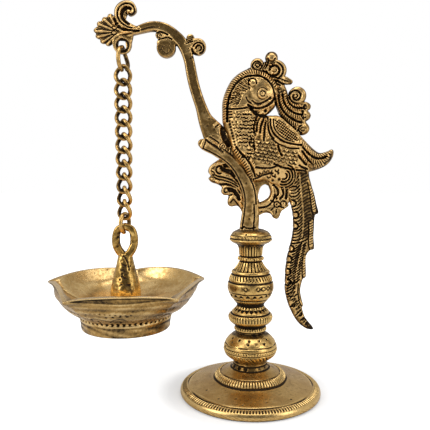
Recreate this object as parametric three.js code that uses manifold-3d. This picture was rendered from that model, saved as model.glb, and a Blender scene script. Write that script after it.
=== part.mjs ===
// A cast brass oil lamp on a stand: a turned pillar carries a peacock and a curved arm,
// and a five-cornered oil pan hangs from the arm's end on a chain of twisted links.
// Millimetres, +Z up. The origin is the centre of the foot's flat underside.
// The arm and its eye lie on the left, towards -X, and the peacock faces -Y with one flank.

import * as THREE from "three";
import { mergeVertices } from "three/addons/utils/BufferGeometryUtils.js";
import Module from "manifold-3d";

// Gap between pieces that touch, and the play between rings and links
const CLEARANCE = 0.3;
const CHAIN_PLAY = 0.35;

// Pillar
const FOOT_RADIUS = 47;
const FOOT_HEIGHT = 21.8;
const FOOT_RIM_HEIGHT = 6.3;
const FOOT_BELL_RADIUS = 20.3;
const FOOT_NECK_RADIUS = 11.3;
const KNOP_RADIUS = 17.95;
const KNOP_HEIGHT = 19.8;
const DISC_RADIUS = 14.75;
const DISC_HEIGHT = 18.2;
const VASE_RADIUS = 15.4;
const VASE_HEIGHT = 50.7;
const NECK_RADIUS = 8.6;
const ROD_DIAMETER = 6;
const ROD_DEPTH_IN_FOOT = 15;
const ROD_DEPTH_IN_ARM = 12;

// Arm, peacock and their ornaments: full thicknesses, front to back
const STRAP_THICKNESS = 10;
const ARM_THICKNESS = 6.4;
const LEAF_THICKNESS = 5.5;
const VOLUTE_THICKNESS = 5.6;
const BODY_THICKNESS = 19;
const WING_THICKNESS = 21;
const HEAD_THICKNESS = 18.4;
const CREST_THICKNESS = 8;
const TAIL_THICKNESS = 7.5;

// Eye at the end of the arm, where the chain hangs: its height is above the pillar's top
const EYE_X = -83.2;
const EYE_HEIGHT = 119.3;
const EYE_HOLE_RADIUS = 3.3;
const EYE_BAR_WIDTH = 2.5;
const EYE_THICKNESS = 4;

// Chain
const LINK_COUNT = 11;
const LINK_WIRE = 2.7;
const LINK_LENGTH = 14.45;
const LINK_WIDTH = 12;
const LINK_TWIST = 90;
const CHAIN_TURN = 40;
const RING_WIRE = 2.8;
const TOP_RING_LENGTH = 17.7;
const TOP_RING_WIDTH = 17;
const TOP_RING_TURN = 67;
const BOTTOM_RING_LENGTH = 15.2;
const BOTTOM_RING_WIDTH = 15.2;
const BOTTOM_RING_TURN = 63;
const RING_END_FLARE = 1.6;

// Stem, from its loop down to its seat in the pan
const STEM_LENGTH = 56.2;
const LOOP_HEIGHT = 20.2;
const LOOP_WIDTH = 16.2;
const LOOP_BAR = 4.6;
const LOOP_SIDE_BAR = 5;
const LOOP_THICKNESS = 4.2;
const STEM_BASE_RADIUS = 10.2;
const STEM_NECK_RADIUS = 4.6;

// Pan: heights are above the underside of its foot ring
const PAN_CORNERS = 5;
const PAN_CORNER_RADIUS = 57;
const PAN_CORNER_HEIGHT = 28;
const PAN_SIDE_RISE = 2.7;
const PAN_SIDE_BULGE = 4;
const PAN_TURN = 5.8;
const PAN_WALL = 3;
const PAN_FLOOR_HEIGHT = 13;
const PAN_SEAT_RADIUS = 14;
const PAN_FOOT_RADIUS = 29.3;
const PAN_FOOT_HEIGHT = 8;
const PAN_FOOT_WALL = 3;

// Facets round a full turn
const PILLAR_FACETS = 32;
const FOOT_FACETS = 48;
const WIRE_FACETS = 8;
const LINK_STEPS = 20;

const wasm = await Module();
wasm.setup();

const brass = (name, color, roughness) =>
  new THREE.MeshStandardMaterial({ name, color, roughness, metalness: 1 });
const brightBrass = brass("bright_brass", 0xc9a15e, 0.32);
const castBrass = brass("cast_brass", 0xb08a4c, 0.45);
const darkBrass = brass("dark_brass", 0x8a6a3a, 0.5);

// A closed geometry as a solid that can be joined and cut.
function solidOf(geometry) {
  const bare = geometry.clone();
  bare.deleteAttribute("normal");
  bare.deleteAttribute("uv");
  const merged = mergeVertices(bare, 1e-4);
  return new wasm.Manifold(new wasm.Mesh({
    numProp: 3,
    vertProperties: merged.getAttribute("position").array,
    triVerts: new Uint32Array(merged.getIndex().array),
  }));
}

function join(geometries) {
  return geometries.map(solidOf).reduce((whole, piece) => whole.add(piece));
}

// A named mesh of a solid or of a closed geometry.
function piece(name, shape, material) {
  let geometry = shape;
  if (!shape.isBufferGeometry) {
    const { vertProperties, triVerts } = shape.getMesh();
    geometry = new THREE.BufferGeometry();
    geometry.setAttribute("position", new THREE.BufferAttribute(vertProperties, 3));
    geometry.setIndex(new THREE.BufferAttribute(triVerts, 1));
  }
  geometry.computeVertexNormals();
  const mesh = new THREE.Mesh(geometry, material);
  mesh.name = name;
  return mesh;
}

// Triangles over a ring that bulges outwards everywhere.
function fan(ring) {
  return ring.slice(2).map((_, i) => [0, i + 1, i + 2]);
}

// Triangles over a ring of any outline in the XZ plane.
function filled(ring) {
  const flat = ring.map(({ x, z }) => new THREE.Vector2(x, z));
  const faces = THREE.ShapeUtils.triangulateShape(flat, []);
  return THREE.ShapeUtils.isClockWise(flat) ? faces.map((face) => face.toReversed()) : faces;
}

// Closed surface through rings of points, either capped at both ends or joined end to start.
function skin(rings, joined = false, capOf = fan) {
  const count = rings[0].length;
  const points = rings.flat();
  const faces = [];
  const bands = joined ? rings.length : rings.length - 1;
  for (let i = 0; i < bands; i++) {
    const low = i * count;
    const high = ((i + 1) % rings.length) * count;
    for (let j = 0; j < count; j++) {
      const k = (j + 1) % count;
      faces.push(low + j, high + k, high + j, low + j, low + k, high + k);
    }
  }
  if (!joined) {
    const last = (rings.length - 1) * count;
    for (const [a, b, c] of capOf(rings[0])) faces.push(c, b, a);
    for (const [a, b, c] of capOf(rings.at(-1))) faces.push(last + a, last + b, last + c);
  }
  const geometry = new THREE.BufferGeometry().setFromPoints(points);
  geometry.setIndex(enclosed(points, faces) < 0 ? faces.reverse() : faces);
  return geometry;
}

// Six times the volume inside the faces, negative where they point inwards.
function enclosed(points, faces) {
  let sum = 0;
  for (let i = 0; i < faces.length; i += 3) {
    const [a, b, c] = faces.slice(i, i + 3).map((index) => points[index]);
    sum += a.dot(b.clone().cross(c));
  }
  return sum;
}

// Body turned about Z. Its outline is given as shares of its radius and height, bottom to top.
function turned(outline, radius, height, bore, facets) {
  const side = outline.map(([r, z]) => new THREE.Vector2(r * radius, z * height));
  const profile = [
    new THREE.Vector2(bore, 0),
    ...side,
    new THREE.Vector2(bore, height),
    new THREE.Vector2(bore, 0),
  ];
  return new THREE.LatheGeometry(profile, facets).rotateX(Math.PI / 2);
}

// Flat stroke in the XZ plane, swept through rows of x, z and half width, with a rounded section.
function stroke(rows, thickness, steps = 3 * rows.length, sides = 10) {
  const path = new THREE.CatmullRomCurve3(rows.map(([x, z]) => new THREE.Vector3(x, 0, z)));
  const widths = new THREE.CatmullRomCurve3(
    rows.map(([, , w, share = 1], i) => new THREE.Vector3(i, w, share)));
  const rings = [];
  for (let i = 0; i <= steps; i++) {
    const t = i / steps;
    const centre = path.getPoint(t);
    const along = path.getTangent(t);
    const across = new THREE.Vector3(along.z, 0, -along.x);
    const { y: half, z: share } = widths.getPoint(t);
    const ring = [];
    for (let j = 0; j < sides; j++) {
      const angle = (2 * Math.PI * j) / sides;
      const squared = (value) => Math.sign(value) * Math.abs(value) ** 0.75;
      ring.push(new THREE.Vector3(0, (squared(Math.sin(angle)) * share * thickness) / 2, 0)
        .addScaledVector(across, squared(Math.cos(angle)) * half)
        .add(centre));
    }
    rings.push(ring);
  }
  return skin(rings);
}

// The point of a line through points that lies nearest to a place.
function nearestOn(line, place) {
  const spots = line.length === 1 ? line : line.slice(1).map((end, i) =>
    new THREE.Line3(new THREE.Vector3(...line[i], 0), new THREE.Vector3(...end, 0))
      .closestPointToPoint(new THREE.Vector3(...place, 0), true, new THREE.Vector3())
      .toArray());
  const reach = ([x, z]) => Math.hypot(x - place[0], z - place[1]);
  return spots.reduce((best, spot) => (reach(spot) < reach(best) ? spot : best));
}

// Shares of the way in to the middle line, and of the half thickness there.
const softDome = [[0, 0.2], [0.03, 0.45], [0.09, 0.68], [0.2, 0.83], [0.4, 0.95], [0.75, 1]];
const fullDome = [[0, 0.45], [0.08, 0.7], [0.3, 0.92], [0.7, 1]];
const discDome = [[0, 0.45], [0.12, 0.8], [0.6, 1]];

// Domed body with the given outline in the XZ plane, swelling towards a line along its middle.
function pillow(outline, line, thickness, dome = fullDome, thickAt = () => 1) {
  const ring = (side) => ([inward, height]) => outline.map(([x, z]) => {
    const [middleX, middleZ] = nearestOn(line, [x, z]);
    const place = [x + (middleX - x) * inward, z + (middleZ - z) * inward];
    return new THREE.Vector3(
      place[0], (side * height * thickness * thickAt(...place)) / 2, place[1]);
  });
  return skin([...dome.toReversed().map(ring(-1)), ...dome.map(ring(1))], false, filled);
}

function disc(x, z, radius, thickness, corners = 14) {
  const outline = [];
  for (let i = 0; i < corners; i++) {
    const angle = (-2 * Math.PI * i) / corners;
    outline.push([x + radius * Math.cos(angle), z + radius * Math.sin(angle)]);
  }
  return pillow(outline, [[x, z]], thickness, discDome);
}

// Plate with the given outline in the XZ plane and bevelled edges.
function plate(outline, thickness) {
  const shape = new THREE.Shape(outline.map(([x, z]) => new THREE.Vector2(x, z)));
  const bevel = thickness * 0.2;
  return new THREE.ExtrudeGeometry(shape, {
    depth: thickness - 2 * bevel,
    bevelThickness: bevel,
    bevelSize: bevel,
    bevelOffset: -bevel,
    bevelSegments: 1,
  }).translate(0, 0, bevel - thickness / 2).rotateX(Math.PI / 2);
}

// Pillar: foot, knop, disc and vase, stacked on the tie rod
const BORE = ROD_DIAMETER / 2 + CLEARANCE;
const knopBottom = FOOT_HEIGHT;
const discBottom = knopBottom + KNOP_HEIGHT;
const vaseBottom = discBottom + DISC_HEIGHT;
const pillarTop = vaseBottom + VASE_HEIGHT;

function foot() {
  const bell = FOOT_BELL_RADIUS;
  const neck = FOOT_NECK_RADIUS;
  const side = [
    [FOOT_RADIUS - 1.6, 0],
    [FOOT_RADIUS - 0.3, 1],
    [FOOT_RADIUS, 2.6],
    [FOOT_RADIUS - 0.6, 4.4],
    [FOOT_RADIUS - 1.7, FOOT_RIM_HEIGHT - 0.8],
    [FOOT_RADIUS - 4.6, FOOT_RIM_HEIGHT],
    [FOOT_RADIUS - 13, FOOT_RIM_HEIGHT + 1.9],
    [bell + 7.7, FOOT_RIM_HEIGHT + 3.1],
    [bell + 4, FOOT_RIM_HEIGHT + 4.4],
    [bell + 3.4, FOOT_HEIGHT - 9.8],
    [bell + 1.7, FOOT_HEIGHT - 8],
    [bell, FOOT_HEIGHT - 7.2],
    [neck + 4.7, FOOT_HEIGHT - 5.5],
    [neck + 1.3, FOOT_HEIGHT - 3.5],
    [neck, FOOT_HEIGHT - 1.8],
    [neck, FOOT_HEIGHT],
  ];
  const rodHoleBottom = FOOT_HEIGHT - ROD_DEPTH_IN_FOOT - CLEARANCE;
  const profile = [[0, 0], ...side, [BORE, FOOT_HEIGHT], [BORE, rodHoleBottom], [0, rodHoleBottom]];
  const points = profile.map(([r, z]) => new THREE.Vector2(r, z));
  return new THREE.LatheGeometry(points, FOOT_FACETS).rotateX(Math.PI / 2);
}

function lowerKnop() {
  const outline = [
    [0.63, 0], [0.77, 0.14], [0.94, 0.28], [1, 0.42], [0.97, 0.6], [0.87, 0.77],
    [0.71, 0.91], [0.56, 1],
  ];
  return turned(outline, KNOP_RADIUS, KNOP_HEIGHT, BORE, PILLAR_FACETS);
}

function ribbedDisc() {
  const outline = [
    [0.66, 0], [0.73, 0.1], [0.71, 0.2], [0.66, 0.27], [0.83, 0.35], [0.96, 0.45],
    [1, 0.56], [0.98, 0.65], [0.88, 0.76], [0.73, 0.87], [0.6, 0.97], [0.59, 1],
  ];
  return turned(outline, DISC_RADIUS, DISC_HEIGHT, BORE, PILLAR_FACETS);
}

function vase() {
  const neckShare = NECK_RADIUS / VASE_RADIUS;
  const outline = [
    [0.57, 0], [0.63, 0.035], [0.73, 0.07], [0.85, 0.115], [0.93, 0.16], [0.985, 0.2], [1, 0.245],
    [0.985, 0.31], [0.945, 0.35], [0.9, 0.385], [0.85, 0.41], [0.8, 0.425], [0.82, 0.44],
    [0.8, 0.46], [0.74, 0.475], [0.66, 0.505], [0.585, 0.54], [neckShare * 0.93, 0.57],
    [neckShare * 0.9, 0.595], [neckShare, 0.61], [neckShare, 0.635], [neckShare * 0.91, 0.657],
    [neckShare * 0.9, 0.71], [neckShare * 0.95, 0.77], [0.62, 0.805], [0.78, 0.83], [0.89, 0.86],
    [0.91, 0.89], [0.88, 0.925], [0.8, 0.95], [0.73, 0.975], [0.6, 0.993], [0.57, 1],
  ];
  return turned(outline, VASE_RADIUS, VASE_HEIGHT, BORE, PILLAR_FACETS);
}

function tieRod() {
  const length = ROD_DEPTH_IN_FOOT + KNOP_HEIGHT + DISC_HEIGHT + VASE_HEIGHT
    + ROD_DEPTH_IN_ARM;
  return new THREE.CylinderGeometry(ROD_DIAMETER / 2, ROD_DIAMETER / 2, length, 16)
    .rotateX(Math.PI / 2)
    .translate(0, 0, FOOT_HEIGHT - ROD_DEPTH_IN_FOOT + length / 2);
}

// Castings above the pillar: their heights are measured from the pillar's top

const strapRows = [
  [-1.25, -2.5, 6.2], [-1.2, 1.5, 6.1], [-0.5, 8.5, 5.7], [-0.4, 16.5, 4.8], [-0.8, 22.5, 4.7],
  [-2.3, 28.5, 4.6], [-4.9, 34, 4.3], [-8.2, 39.5, 4], [-12.4, 44.5, 3.8, 0.9],
  [-17.6, 48.7, 3.7, 0.8], [-23.6, 52.2, 3.6, 0.8], [-31.6, 56, 3.7, 0.8],
];

const armRows = [
  [-19, 53.5, 7.2, 0.8], [-22.5, 60, 8], [-26.5, 66, 6.4], [-30, 72, 4.7],
  [-32.6, 79.5, 3.7], [-35.4, 87.5, 3.5], [-37.4, 94.5, 3.5], [-38.9, 101.5, 3.5],
  [-40.2, 108.5, 3.4], [-42.4, 115.5, 3.5], [-45.8, 121.5, 3.5], [-50.2, 125.9, 3.3],
  [-55, 129.2, 3.1], [-60, 130.6, 3.1], [-65, 130.6, 3], [-70, 129.4, 2.9],
  [-75, 127.7, 2.6], [-80, 126.2, 2.1], [-85, 125.8, 1.9, 0.8], [-89, 126.9, 1.6, 0.7],
];

const voluteRows = [
  [-71.8, 129.8, 0.5, 0.7], [-76, 130.4, 1.3], [-80, 131.9, 2], [-83.3, 134.2, 2.6],
  [-85.1, 137.7, 3], [-84.5, 141.5, 3], [-81.6, 144.1, 2.6], [-77.8, 143.6, 2.7],
  [-76.2, 140.7, 2.4], [-77.6, 139.1, 1.9], [-79.3, 139.9, 1.6],
];

const leafTips = [
  [-91, 137.1], [-94.9, 135.1], [-98.2, 132.2], [-100.6, 128.2], [-99, 124.7],
  [-96.3, 121.6], [-92.8, 119.9],
];

// The arm is drawn for an eye at this place. Where the eye moves, the arm stretches after it.
const drawnEye = { x: -83.2, z: 119.3 };
const armRootZ = 56;

function towardsEye([x, z, ...rest]) {
  const share = THREE.MathUtils.clamp((z - armRootZ) / (drawnEye.z - armRootZ), 0, 1);
  return [x + share * (EYE_X - drawnEye.x), z + share * (EYE_HEIGHT - drawnEye.z), ...rest];
}

function armStroke(rows, ...rest) {
  return stroke(rows.map(towardsEye), ...rest);
}

function armDisc(x, z, ...rest) {
  return disc(...towardsEye([x, z]), ...rest);
}

// The strap with the arm, the eye and the ornaments cast onto them.
function lampArm(taken) {
  const leafRoot = [-86.5, 127.8];
  const lobes = leafTips.map(([x, z]) => armStroke([
    [leafRoot[0], leafRoot[1], 1.2],
    [(leafRoot[0] + x) / 2, (leafRoot[1] + z) / 2, 2.2],
    [x * 0.93 + leafRoot[0] * 0.07, z * 0.93 + leafRoot[1] * 0.07, 2.3],
    [x, z, 1.1, 0.7],
  ], LEAF_THICKNESS * 0.8, 4, 6));
  const discBoss = armDisc(-55, 117.1, 6.1, ARM_THICKNESS, 14);
  const bossNeck = armStroke(
    [[-56.5, 117.5, 3.4], [-55, 123.5, 3.4], [-52, 127.5, 3]], ARM_THICKNESS * 0.8, 4);
  const bossCurl = armDisc(-59.2, 125.3, 2.5, ARM_THICKNESS * 0.9, 8);
  const knob = armDisc(-39.6, 123.1, 2.1, ARM_THICKNESS, 8);
  const curl = armDisc(-34.7, 117.7, 5.3, ARM_THICKNESS, 12);
  const curlRoot = armStroke(
    [[-41.5, 115.5, 3.5], [-38.5, 119, 3.6], [-35.5, 119.5, 2.8]], ARM_THICKNESS, 4);
  const eyeWeb = armStroke(
    [[-78.6, 125.5, 3], [-78.5, 122.5, 1.6], [-79, 119.5, 1.2]], EYE_THICKNESS, 4);
  const eyeTop = armStroke(
    [[-88.5, 123, 1.4], [-84, 125.8, 1.4], [-79, 125, 1.4]], EYE_THICKNESS, 4);
  const whole = join([
    stroke(strapRows, STRAP_THICKNESS, 16, 10),
    armStroke(armRows, ARM_THICKNESS, 26, 8),
    armStroke(voluteRows, VOLUTE_THICKNESS, 22, 8),
    ...lobes, discBoss, bossNeck, bossCurl, knob, curl, curlRoot, eyeWeb, eyeTop,
    eyeRing(),
  ]);
  const below = new THREE.BoxGeometry(40, 40, 20).translate(0, 0, -10);
  const rodHole = new THREE.CylinderGeometry(BORE, BORE, 2 * (ROD_DEPTH_IN_ARM + CLEARANCE), 16)
    .rotateX(Math.PI / 2);
  return whole
    .subtract(solidOf(eyeHole()))
    .subtract(taken)
    .subtract(solidOf(below))
    .subtract(solidOf(rodHole));
}

function eyeRing() {
  const middle = EYE_HOLE_RADIUS + EYE_BAR_WIDTH / 2;
  const section = [];
  for (let i = 0; i <= 8; i++) {
    const angle = (Math.PI * i) / 4;
    section.push(new THREE.Vector2(
      middle + (Math.cos(angle) * EYE_BAR_WIDTH) / 2,
      (Math.sin(angle) * EYE_THICKNESS) / 2));
  }
  return new THREE.LatheGeometry(section, 20).translate(EYE_X, 0, EYE_HEIGHT);
}

function eyeHole() {
  return new THREE.CylinderGeometry(EYE_HOLE_RADIUS, EYE_HOLE_RADIUS, 2 * ARM_THICKNESS, 20)
    .translate(EYE_X, 0, EYE_HEIGHT);
}

function leafScroll(taken) {
  const outline = [
    [-5, 10.5], [-7, 13.5], [-9, 15.7], [-13, 15.2], [-15.2, 16.5], [-15.4, 19.5], [-15, 22.5],
    [-18, 22.8], [-19.6, 24.9], [-19, 27.5], [-20.4, 29.1], [-23, 30.5], [-26, 31],
    [-28, 33.5], [-26.6, 35.3], [-28.1, 37.5], [-27.2, 41], [-24, 43.5], [-19, 44.9],
    [-12, 44.5], [-6, 37.5], [-3, 30.5], [-1, 22.5], [-1, 10.5],
  ];
  return solidOf(plate(outline.reverse(), LEAF_THICKNESS)).subtract(taken);
}

function flowerBracket(taken) {
  const outline = [
    [1, 9.5], [1, 18.7], [5.4, 18.1], [8.6, 19.3], [11.5, 21.5], [12.6, 24.9], [11.6, 28.1],
    [11, 32.5], [21, 32.5], [21.5, 26], [21, 20.5], [24.6, 16.1], [22.8, 14.3], [20, 11.8],
    [18.4, 8.3], [17, 7], [14.6, 7.8], [13, 10.3], [10, 11.1], [8, 10.5], [5.4, 9.5],
  ];
  return solidOf(plate(outline, LEAF_THICKNESS)).subtract(taken);
}

// Outlines of the peacock's trunk, wing and plume, and the middle lines that they swell towards.
const trunkOutline = [
  [-18.9, 70.5], [-19.1, 76.5], [-19, 82.5], [-17.4, 88.5], [-14, 95.5], [-10.4, 99.5], [-6, 102.5],
  [-1, 104.3], [5, 103.1], [10, 100.7], [14.6, 96.5], [17.4, 92.1], [17, 86], [15.2, 79.9],
  [12.4, 76.5], [9.6, 74.2], [12.5, 73.9], [18, 73.3], [24, 68.5], [30, 62.5], [35, 56.5],
  [39, 49.5], [39.5, 44], [35.5, 40.5], [31.5, 37.5], [30, 33], [28.2, 29], [25, 26.6], [20.5, 26.3],
  [14.5, 28.9], [8, 30.8], [2, 31.1], [-1, 34.5], [-3.6, 41], [-7.4, 46.4], [-10, 50.8],
  [-12.3, 55.5], [-15.4, 61.5], [-17.8, 66.5],
];
const trunkLine = [[0, 92], [-5, 82], [-3, 70], [4, 58], [14, 48], [24, 42], [30, 40]];

const wingOutline = [
  [5, 74], [9, 73.8], [13, 73.9], [18, 73.2], [26, 66.5], [32.5, 59.9], [36, 56.5], [40, 52.9],
  [44, 50.4], [47, 50.5], [50, 51.5], [52.6, 52.7], [54, 51], [53.3, 47], [50, 42.7], [45, 39.9],
  [40, 38.4], [36, 37.5], [30, 37.7], [22, 39.1], [15, 41.5], [8, 45], [3, 49.5], [0.5, 56.5],
  [1.5, 65.5],
];
const wingLine = [[10, 66], [16, 54], [26, 48], [38, 45.5], [48, 46]];

const plumeOutline = [
  [15.6, 94.5], [20.6, 93.5], [22.8, 89.9], [23.8, 85.9], [27, 82.5], [33.5, 83.1],
  [36.2, 82.5], [38.1, 80.1], [36.2, 77.1], [38.3, 74.1], [35.3, 70.5], [37.4, 66.1],
  [36, 63.1], [33, 61.7], [29, 63], [24, 68], [19.6, 72.7], [18.2, 74.5], [16.6, 78.5],
  [15, 83.5],
];
const plumeLine = [[19.5, 91], [20.5, 83], [25, 76], [32, 71]];

// Raised lines on the peacock, as rows of a stroke: the border round its neck, the bands of its
// plume, and the ridges round its back from the shoulder to the root of the flight feathers.
const neckBorderRows = [
  [-17.7, 71, 1.5], [-17.7, 81.4, 1.5], [-16.1, 87.5, 1.5], [-13.2, 93.4, 1.5], [-9.6, 97.3, 1.5],
  [-5.5, 100.2, 1.5], [-1.3, 101.6, 1.5], [4.2, 100.8, 1.5], [9.1, 98.9, 1.5], [13.5, 95.1, 1.5],
];
const plumeBands = [
  [[15.7, 86.4, 1.4], [17.6, 77.5, 1.4], [24.9, 70.1, 1.4], [29.2, 67.7, 1.4]],
  [[18.2, 86.4, 1.4], [20.8, 78.5, 1.4], [27.9, 73.2, 1.4], [31.8, 72.4, 1.4]],
  [[21, 88.2, 1.3], [23.5, 80.7, 1.3], [30.6, 77.3, 1.3]],
];
const backRidges = [
  [[12.5, 71.2, 0.8], [12.8, 65.9, 0.8], [20.4, 58, 0.8], [31.4, 55.9, 0.8]],
  [[10.4, 69.1, 0.8], [13.5, 59.9, 0.8], [25.2, 54.1, 0.8], [32, 53.7, 0.8]],
];

// Moves an outline's points away from its middle line by a margin.
function grown(outline, line, margin) {
  return outline.map(([x, z]) => {
    const [middleX, middleZ] = nearestOn(line, [x, z]);
    const reach = Math.hypot(x - middleX, z - middleZ);
    const share = 1 + margin / reach;
    return [middleX + (x - middleX) * share, middleZ + (z - middleZ) * share];
  });
}

// Rows of a stroke with its half widths grown by a margin.
function widened(rows, margin) {
  return rows.map(([x, z, halfWidth, ...rest]) => [x, z, halfWidth + margin, ...rest]);
}

// Shares of the full thickness: the trunk thins towards belly and head, the wing towards its tip.
function trunkShare(x, z) {
  const belly = 1 - THREE.MathUtils.smoothstep(z, 30, 46);
  return 1 - 0.29 * belly - 0.16 * THREE.MathUtils.smoothstep(z, 73, 86);
}

function wingShare(x) {
  return 1 - 0.55 * THREE.MathUtils.smoothstep(x, 24, 53);
}

// Trunk, wing, head, plume and crest, grown by a margin all round.
function peacock(margin = 0) {
  const crestRows = [
    [-1, 102, 2.6], [6, 104.3, 3], [12, 105.5, 3.4], [17, 100.5, 3.4], [19, 93.5, 2.5],
  ];
  const leafRows = [[17, 98.3, 2.2], [21.5, 96.7, 2.4], [24.9, 95.7, 1.4]];
  const more = 2 * margin;
  const raised = (x, z, radius, corners, thickness = CREST_THICKNESS) =>
    disc(x, z, radius + margin, thickness + more, corners);
  const border = stroke(widened(neckBorderRows, margin), HEAD_THICKNESS * 0.72 + more, 16, 8);
  const bands = plumeBands.map((rows) =>
    stroke(widened(rows, margin), CREST_THICKNESS * 1.45 + more, 7, 6));
  const ridges = backRidges.map((rows) =>
    stroke(widened(rows, margin), WING_THICKNESS * 1.05 + more, 8, 6));
  return join([
    pillow(grown(trunkOutline, trunkLine, margin), trunkLine, BODY_THICKNESS + more, softDome,
      trunkShare),
    pillow(grown(wingOutline, wingLine, margin), wingLine, WING_THICKNESS + more, fullDome,
      wingShare),
    pillow(grown(plumeOutline, plumeLine, margin), plumeLine, 1.2 * CREST_THICKNESS + more),
    border,
    ...bands,
    ...ridges,
    stroke(widened(crestRows, margin), CREST_THICKNESS * 0.87 + more, 8, 8),
    stroke(widened(leafRows, margin), CREST_THICKNESS * 0.67 + more, 4, 8),
    raised(5.4, 90.1, 9.6, 18, HEAD_THICKNESS),
    raised(3.6, 106.3, 4.4, 10),
    raised(12.7, 110.9, 4.1, 10),
    raised(15.8, 102.9, 6.6, 16),
    raised(29.4, 86.8, 5.8, 16, CREST_THICKNESS * 1.17),
    raised(35.6, 79.9, 2.6, 8),
    raised(34.8, 74.1, 3.4, 8),
    raised(33.4, 65.9, 4.1, 10),
    raised(6.4, 87.3, 3.4, 12, HEAD_THICKNESS * 1.04),
    raised(0, 94.3, 2, 8, HEAD_THICKNESS * 0.95),
  ]);
}

// Rows of height, left edge and right edge, from the body down to the tip.
const tailRows = [
  [38.5, 28, 36.5], [33.5, 27, 38], [27.5, 24.6, 40], [22.5, 24, 41.6], [16.5, 26, 43], [11.1, 27.3, 44.3],
  [9.1, 27.5, 42], [1.5, 27.8, 41.5], [-5.5, 27, 41.3], [-12.5, 25.4, 41.7], [-14.1, 25, 38.6],
  [-18.5, 24, 36.4], [-26.5, 23, 36.6], [-31.5, 22.8, 36.5], [-33.5, 22.8, 34.4], [-40.5, 22.8, 33],
  [-46.5, 24, 34], [-50.5, 25.2, 35], [-52.5, 26, 34.4], [-58.5, 29, 36.2], [-63, 32.4, 39.5],
  [-65.7, 35.8, 41.7], [-66.9, 38.6, 41.6],
];

function tail(margin = 0) {
  const rings = tailRows.map(([z, left, right]) => {
    const half = (right - left) / 2 + margin;
    const thick = Math.min(TAIL_THICKNESS / 2, 0.75 * half) + margin;
    const ring = [];
    for (let i = 0; i < 12; i++) {
      const angle = (2 * Math.PI * i) / 12;
      ring.push(new THREE.Vector3(
        (left + right) / 2 + half * Math.cos(angle), thick * Math.sin(angle), z));
    }
    return ring;
  });
  return solidOf(skin(rings));
}

function strapSolid(margin = 0) {
  return solidOf(stroke(widened(strapRows, margin), STRAP_THICKNESS + 2 * margin, 16, 10));
}

// Section of a wire, as a regular polygon.
function wireSection(diameter) {
  const points = [];
  for (let i = 0; i < WIRE_FACETS; i++) {
    const angle = (2 * Math.PI * i) / WIRE_FACETS;
    points.push(new THREE.Vector2(Math.cos(angle), Math.sin(angle)).multiplyScalar(diameter / 2));
  }
  return points;
}

// Jump ring: a bent wire whose cut end flares out beside the other end.
function jumpRing(length, width, turn, centreZ) {
  const points = [];
  const bends = 20;
  const openAngle = 0.16 * Math.PI;
  for (let i = 0; i <= bends; i++) {
    const angle = -Math.PI / 2 + openAngle + ((2 * Math.PI - 1.35 * openAngle) * i) / bends;
    const flare = i === 0 ? RING_END_FLARE : 0;
    points.push(new THREE.Vector3(
      Math.cos(angle) * ((width - RING_WIRE) / 2 + flare),
      0,
      Math.sin(angle) * ((length - RING_WIRE) / 2)));
  }
  const path = new THREE.CatmullRomCurve3(points);
  return new THREE.ExtrudeGeometry(new THREE.Shape(wireSection(RING_WIRE)), {
    steps: 28,
    bevelEnabled: false,
    extrudePath: path,
  }).rotateZ(THREE.MathUtils.degToRad(turn)).translate(EYE_X, 0, centreZ);
}

// Chain link: an oval of wire, twisted so that its two ends lie across each other.
function chainLink(turn, centreZ) {
  const points = [];
  for (let i = 0; i < LINK_STEPS; i++) {
    const angle = (2 * Math.PI * i) / LINK_STEPS;
    const twist = THREE.MathUtils.degToRad(turn - (LINK_TWIST / 2) * Math.cos(angle));
    const reach = (Math.sin(angle) * (LINK_WIDTH - LINK_WIRE)) / 2;
    points.push(new THREE.Vector3(
      reach * Math.cos(twist),
      reach * Math.sin(twist),
      (Math.cos(angle) * (LINK_LENGTH - LINK_WIRE)) / 2));
  }
  const path = new THREE.CatmullRomCurve3(points, true);
  const frames = path.computeFrenetFrames(LINK_STEPS, true);
  const section = wireSection(LINK_WIRE);
  const rings = [];
  for (let i = 0; i < LINK_STEPS; i++) {
    const centre = path.getPointAt(i / LINK_STEPS);
    rings.push(section.map(({ x, y }) => centre.clone()
      .addScaledVector(frames.normals[i], x)
      .addScaledVector(frames.binormals[i], y)));
  }
  return skin(rings, true).translate(EYE_X, 0, centreZ);
}

// Everything on the chain is placed from the eye downwards: each wire's centre hangs from the last.
const eyeBottom = pillarTop + EYE_HEIGHT - EYE_HOLE_RADIUS;
const topRingZ = eyeBottom + CHAIN_PLAY + RING_WIRE - TOP_RING_LENGTH / 2;
const topRingEnd = topRingZ - (TOP_RING_LENGTH - RING_WIRE) / 2;
const wireStep = (RING_WIRE + LINK_WIRE) / 2 + CHAIN_PLAY;
const firstLinkZ = topRingEnd + wireStep - (LINK_LENGTH - LINK_WIRE) / 2;
const linkPitch = LINK_LENGTH - 2 * LINK_WIRE - CHAIN_PLAY;
const lastLinkZ = firstLinkZ - (LINK_COUNT - 1) * linkPitch;
const lastLinkEnd = lastLinkZ - (LINK_LENGTH - LINK_WIRE) / 2;
const bottomRingZ = lastLinkEnd + wireStep - (BOTTOM_RING_LENGTH - RING_WIRE) / 2;
const bottomRingEnd = bottomRingZ - (BOTTOM_RING_LENGTH - RING_WIRE) / 2;
const stemTop = bottomRingEnd + RING_WIRE / 2 + CHAIN_PLAY + LOOP_BAR;
const panSeat = stemTop - STEM_LENGTH;
const panBottom = panSeat - PAN_FLOOR_HEIGHT;

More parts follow.
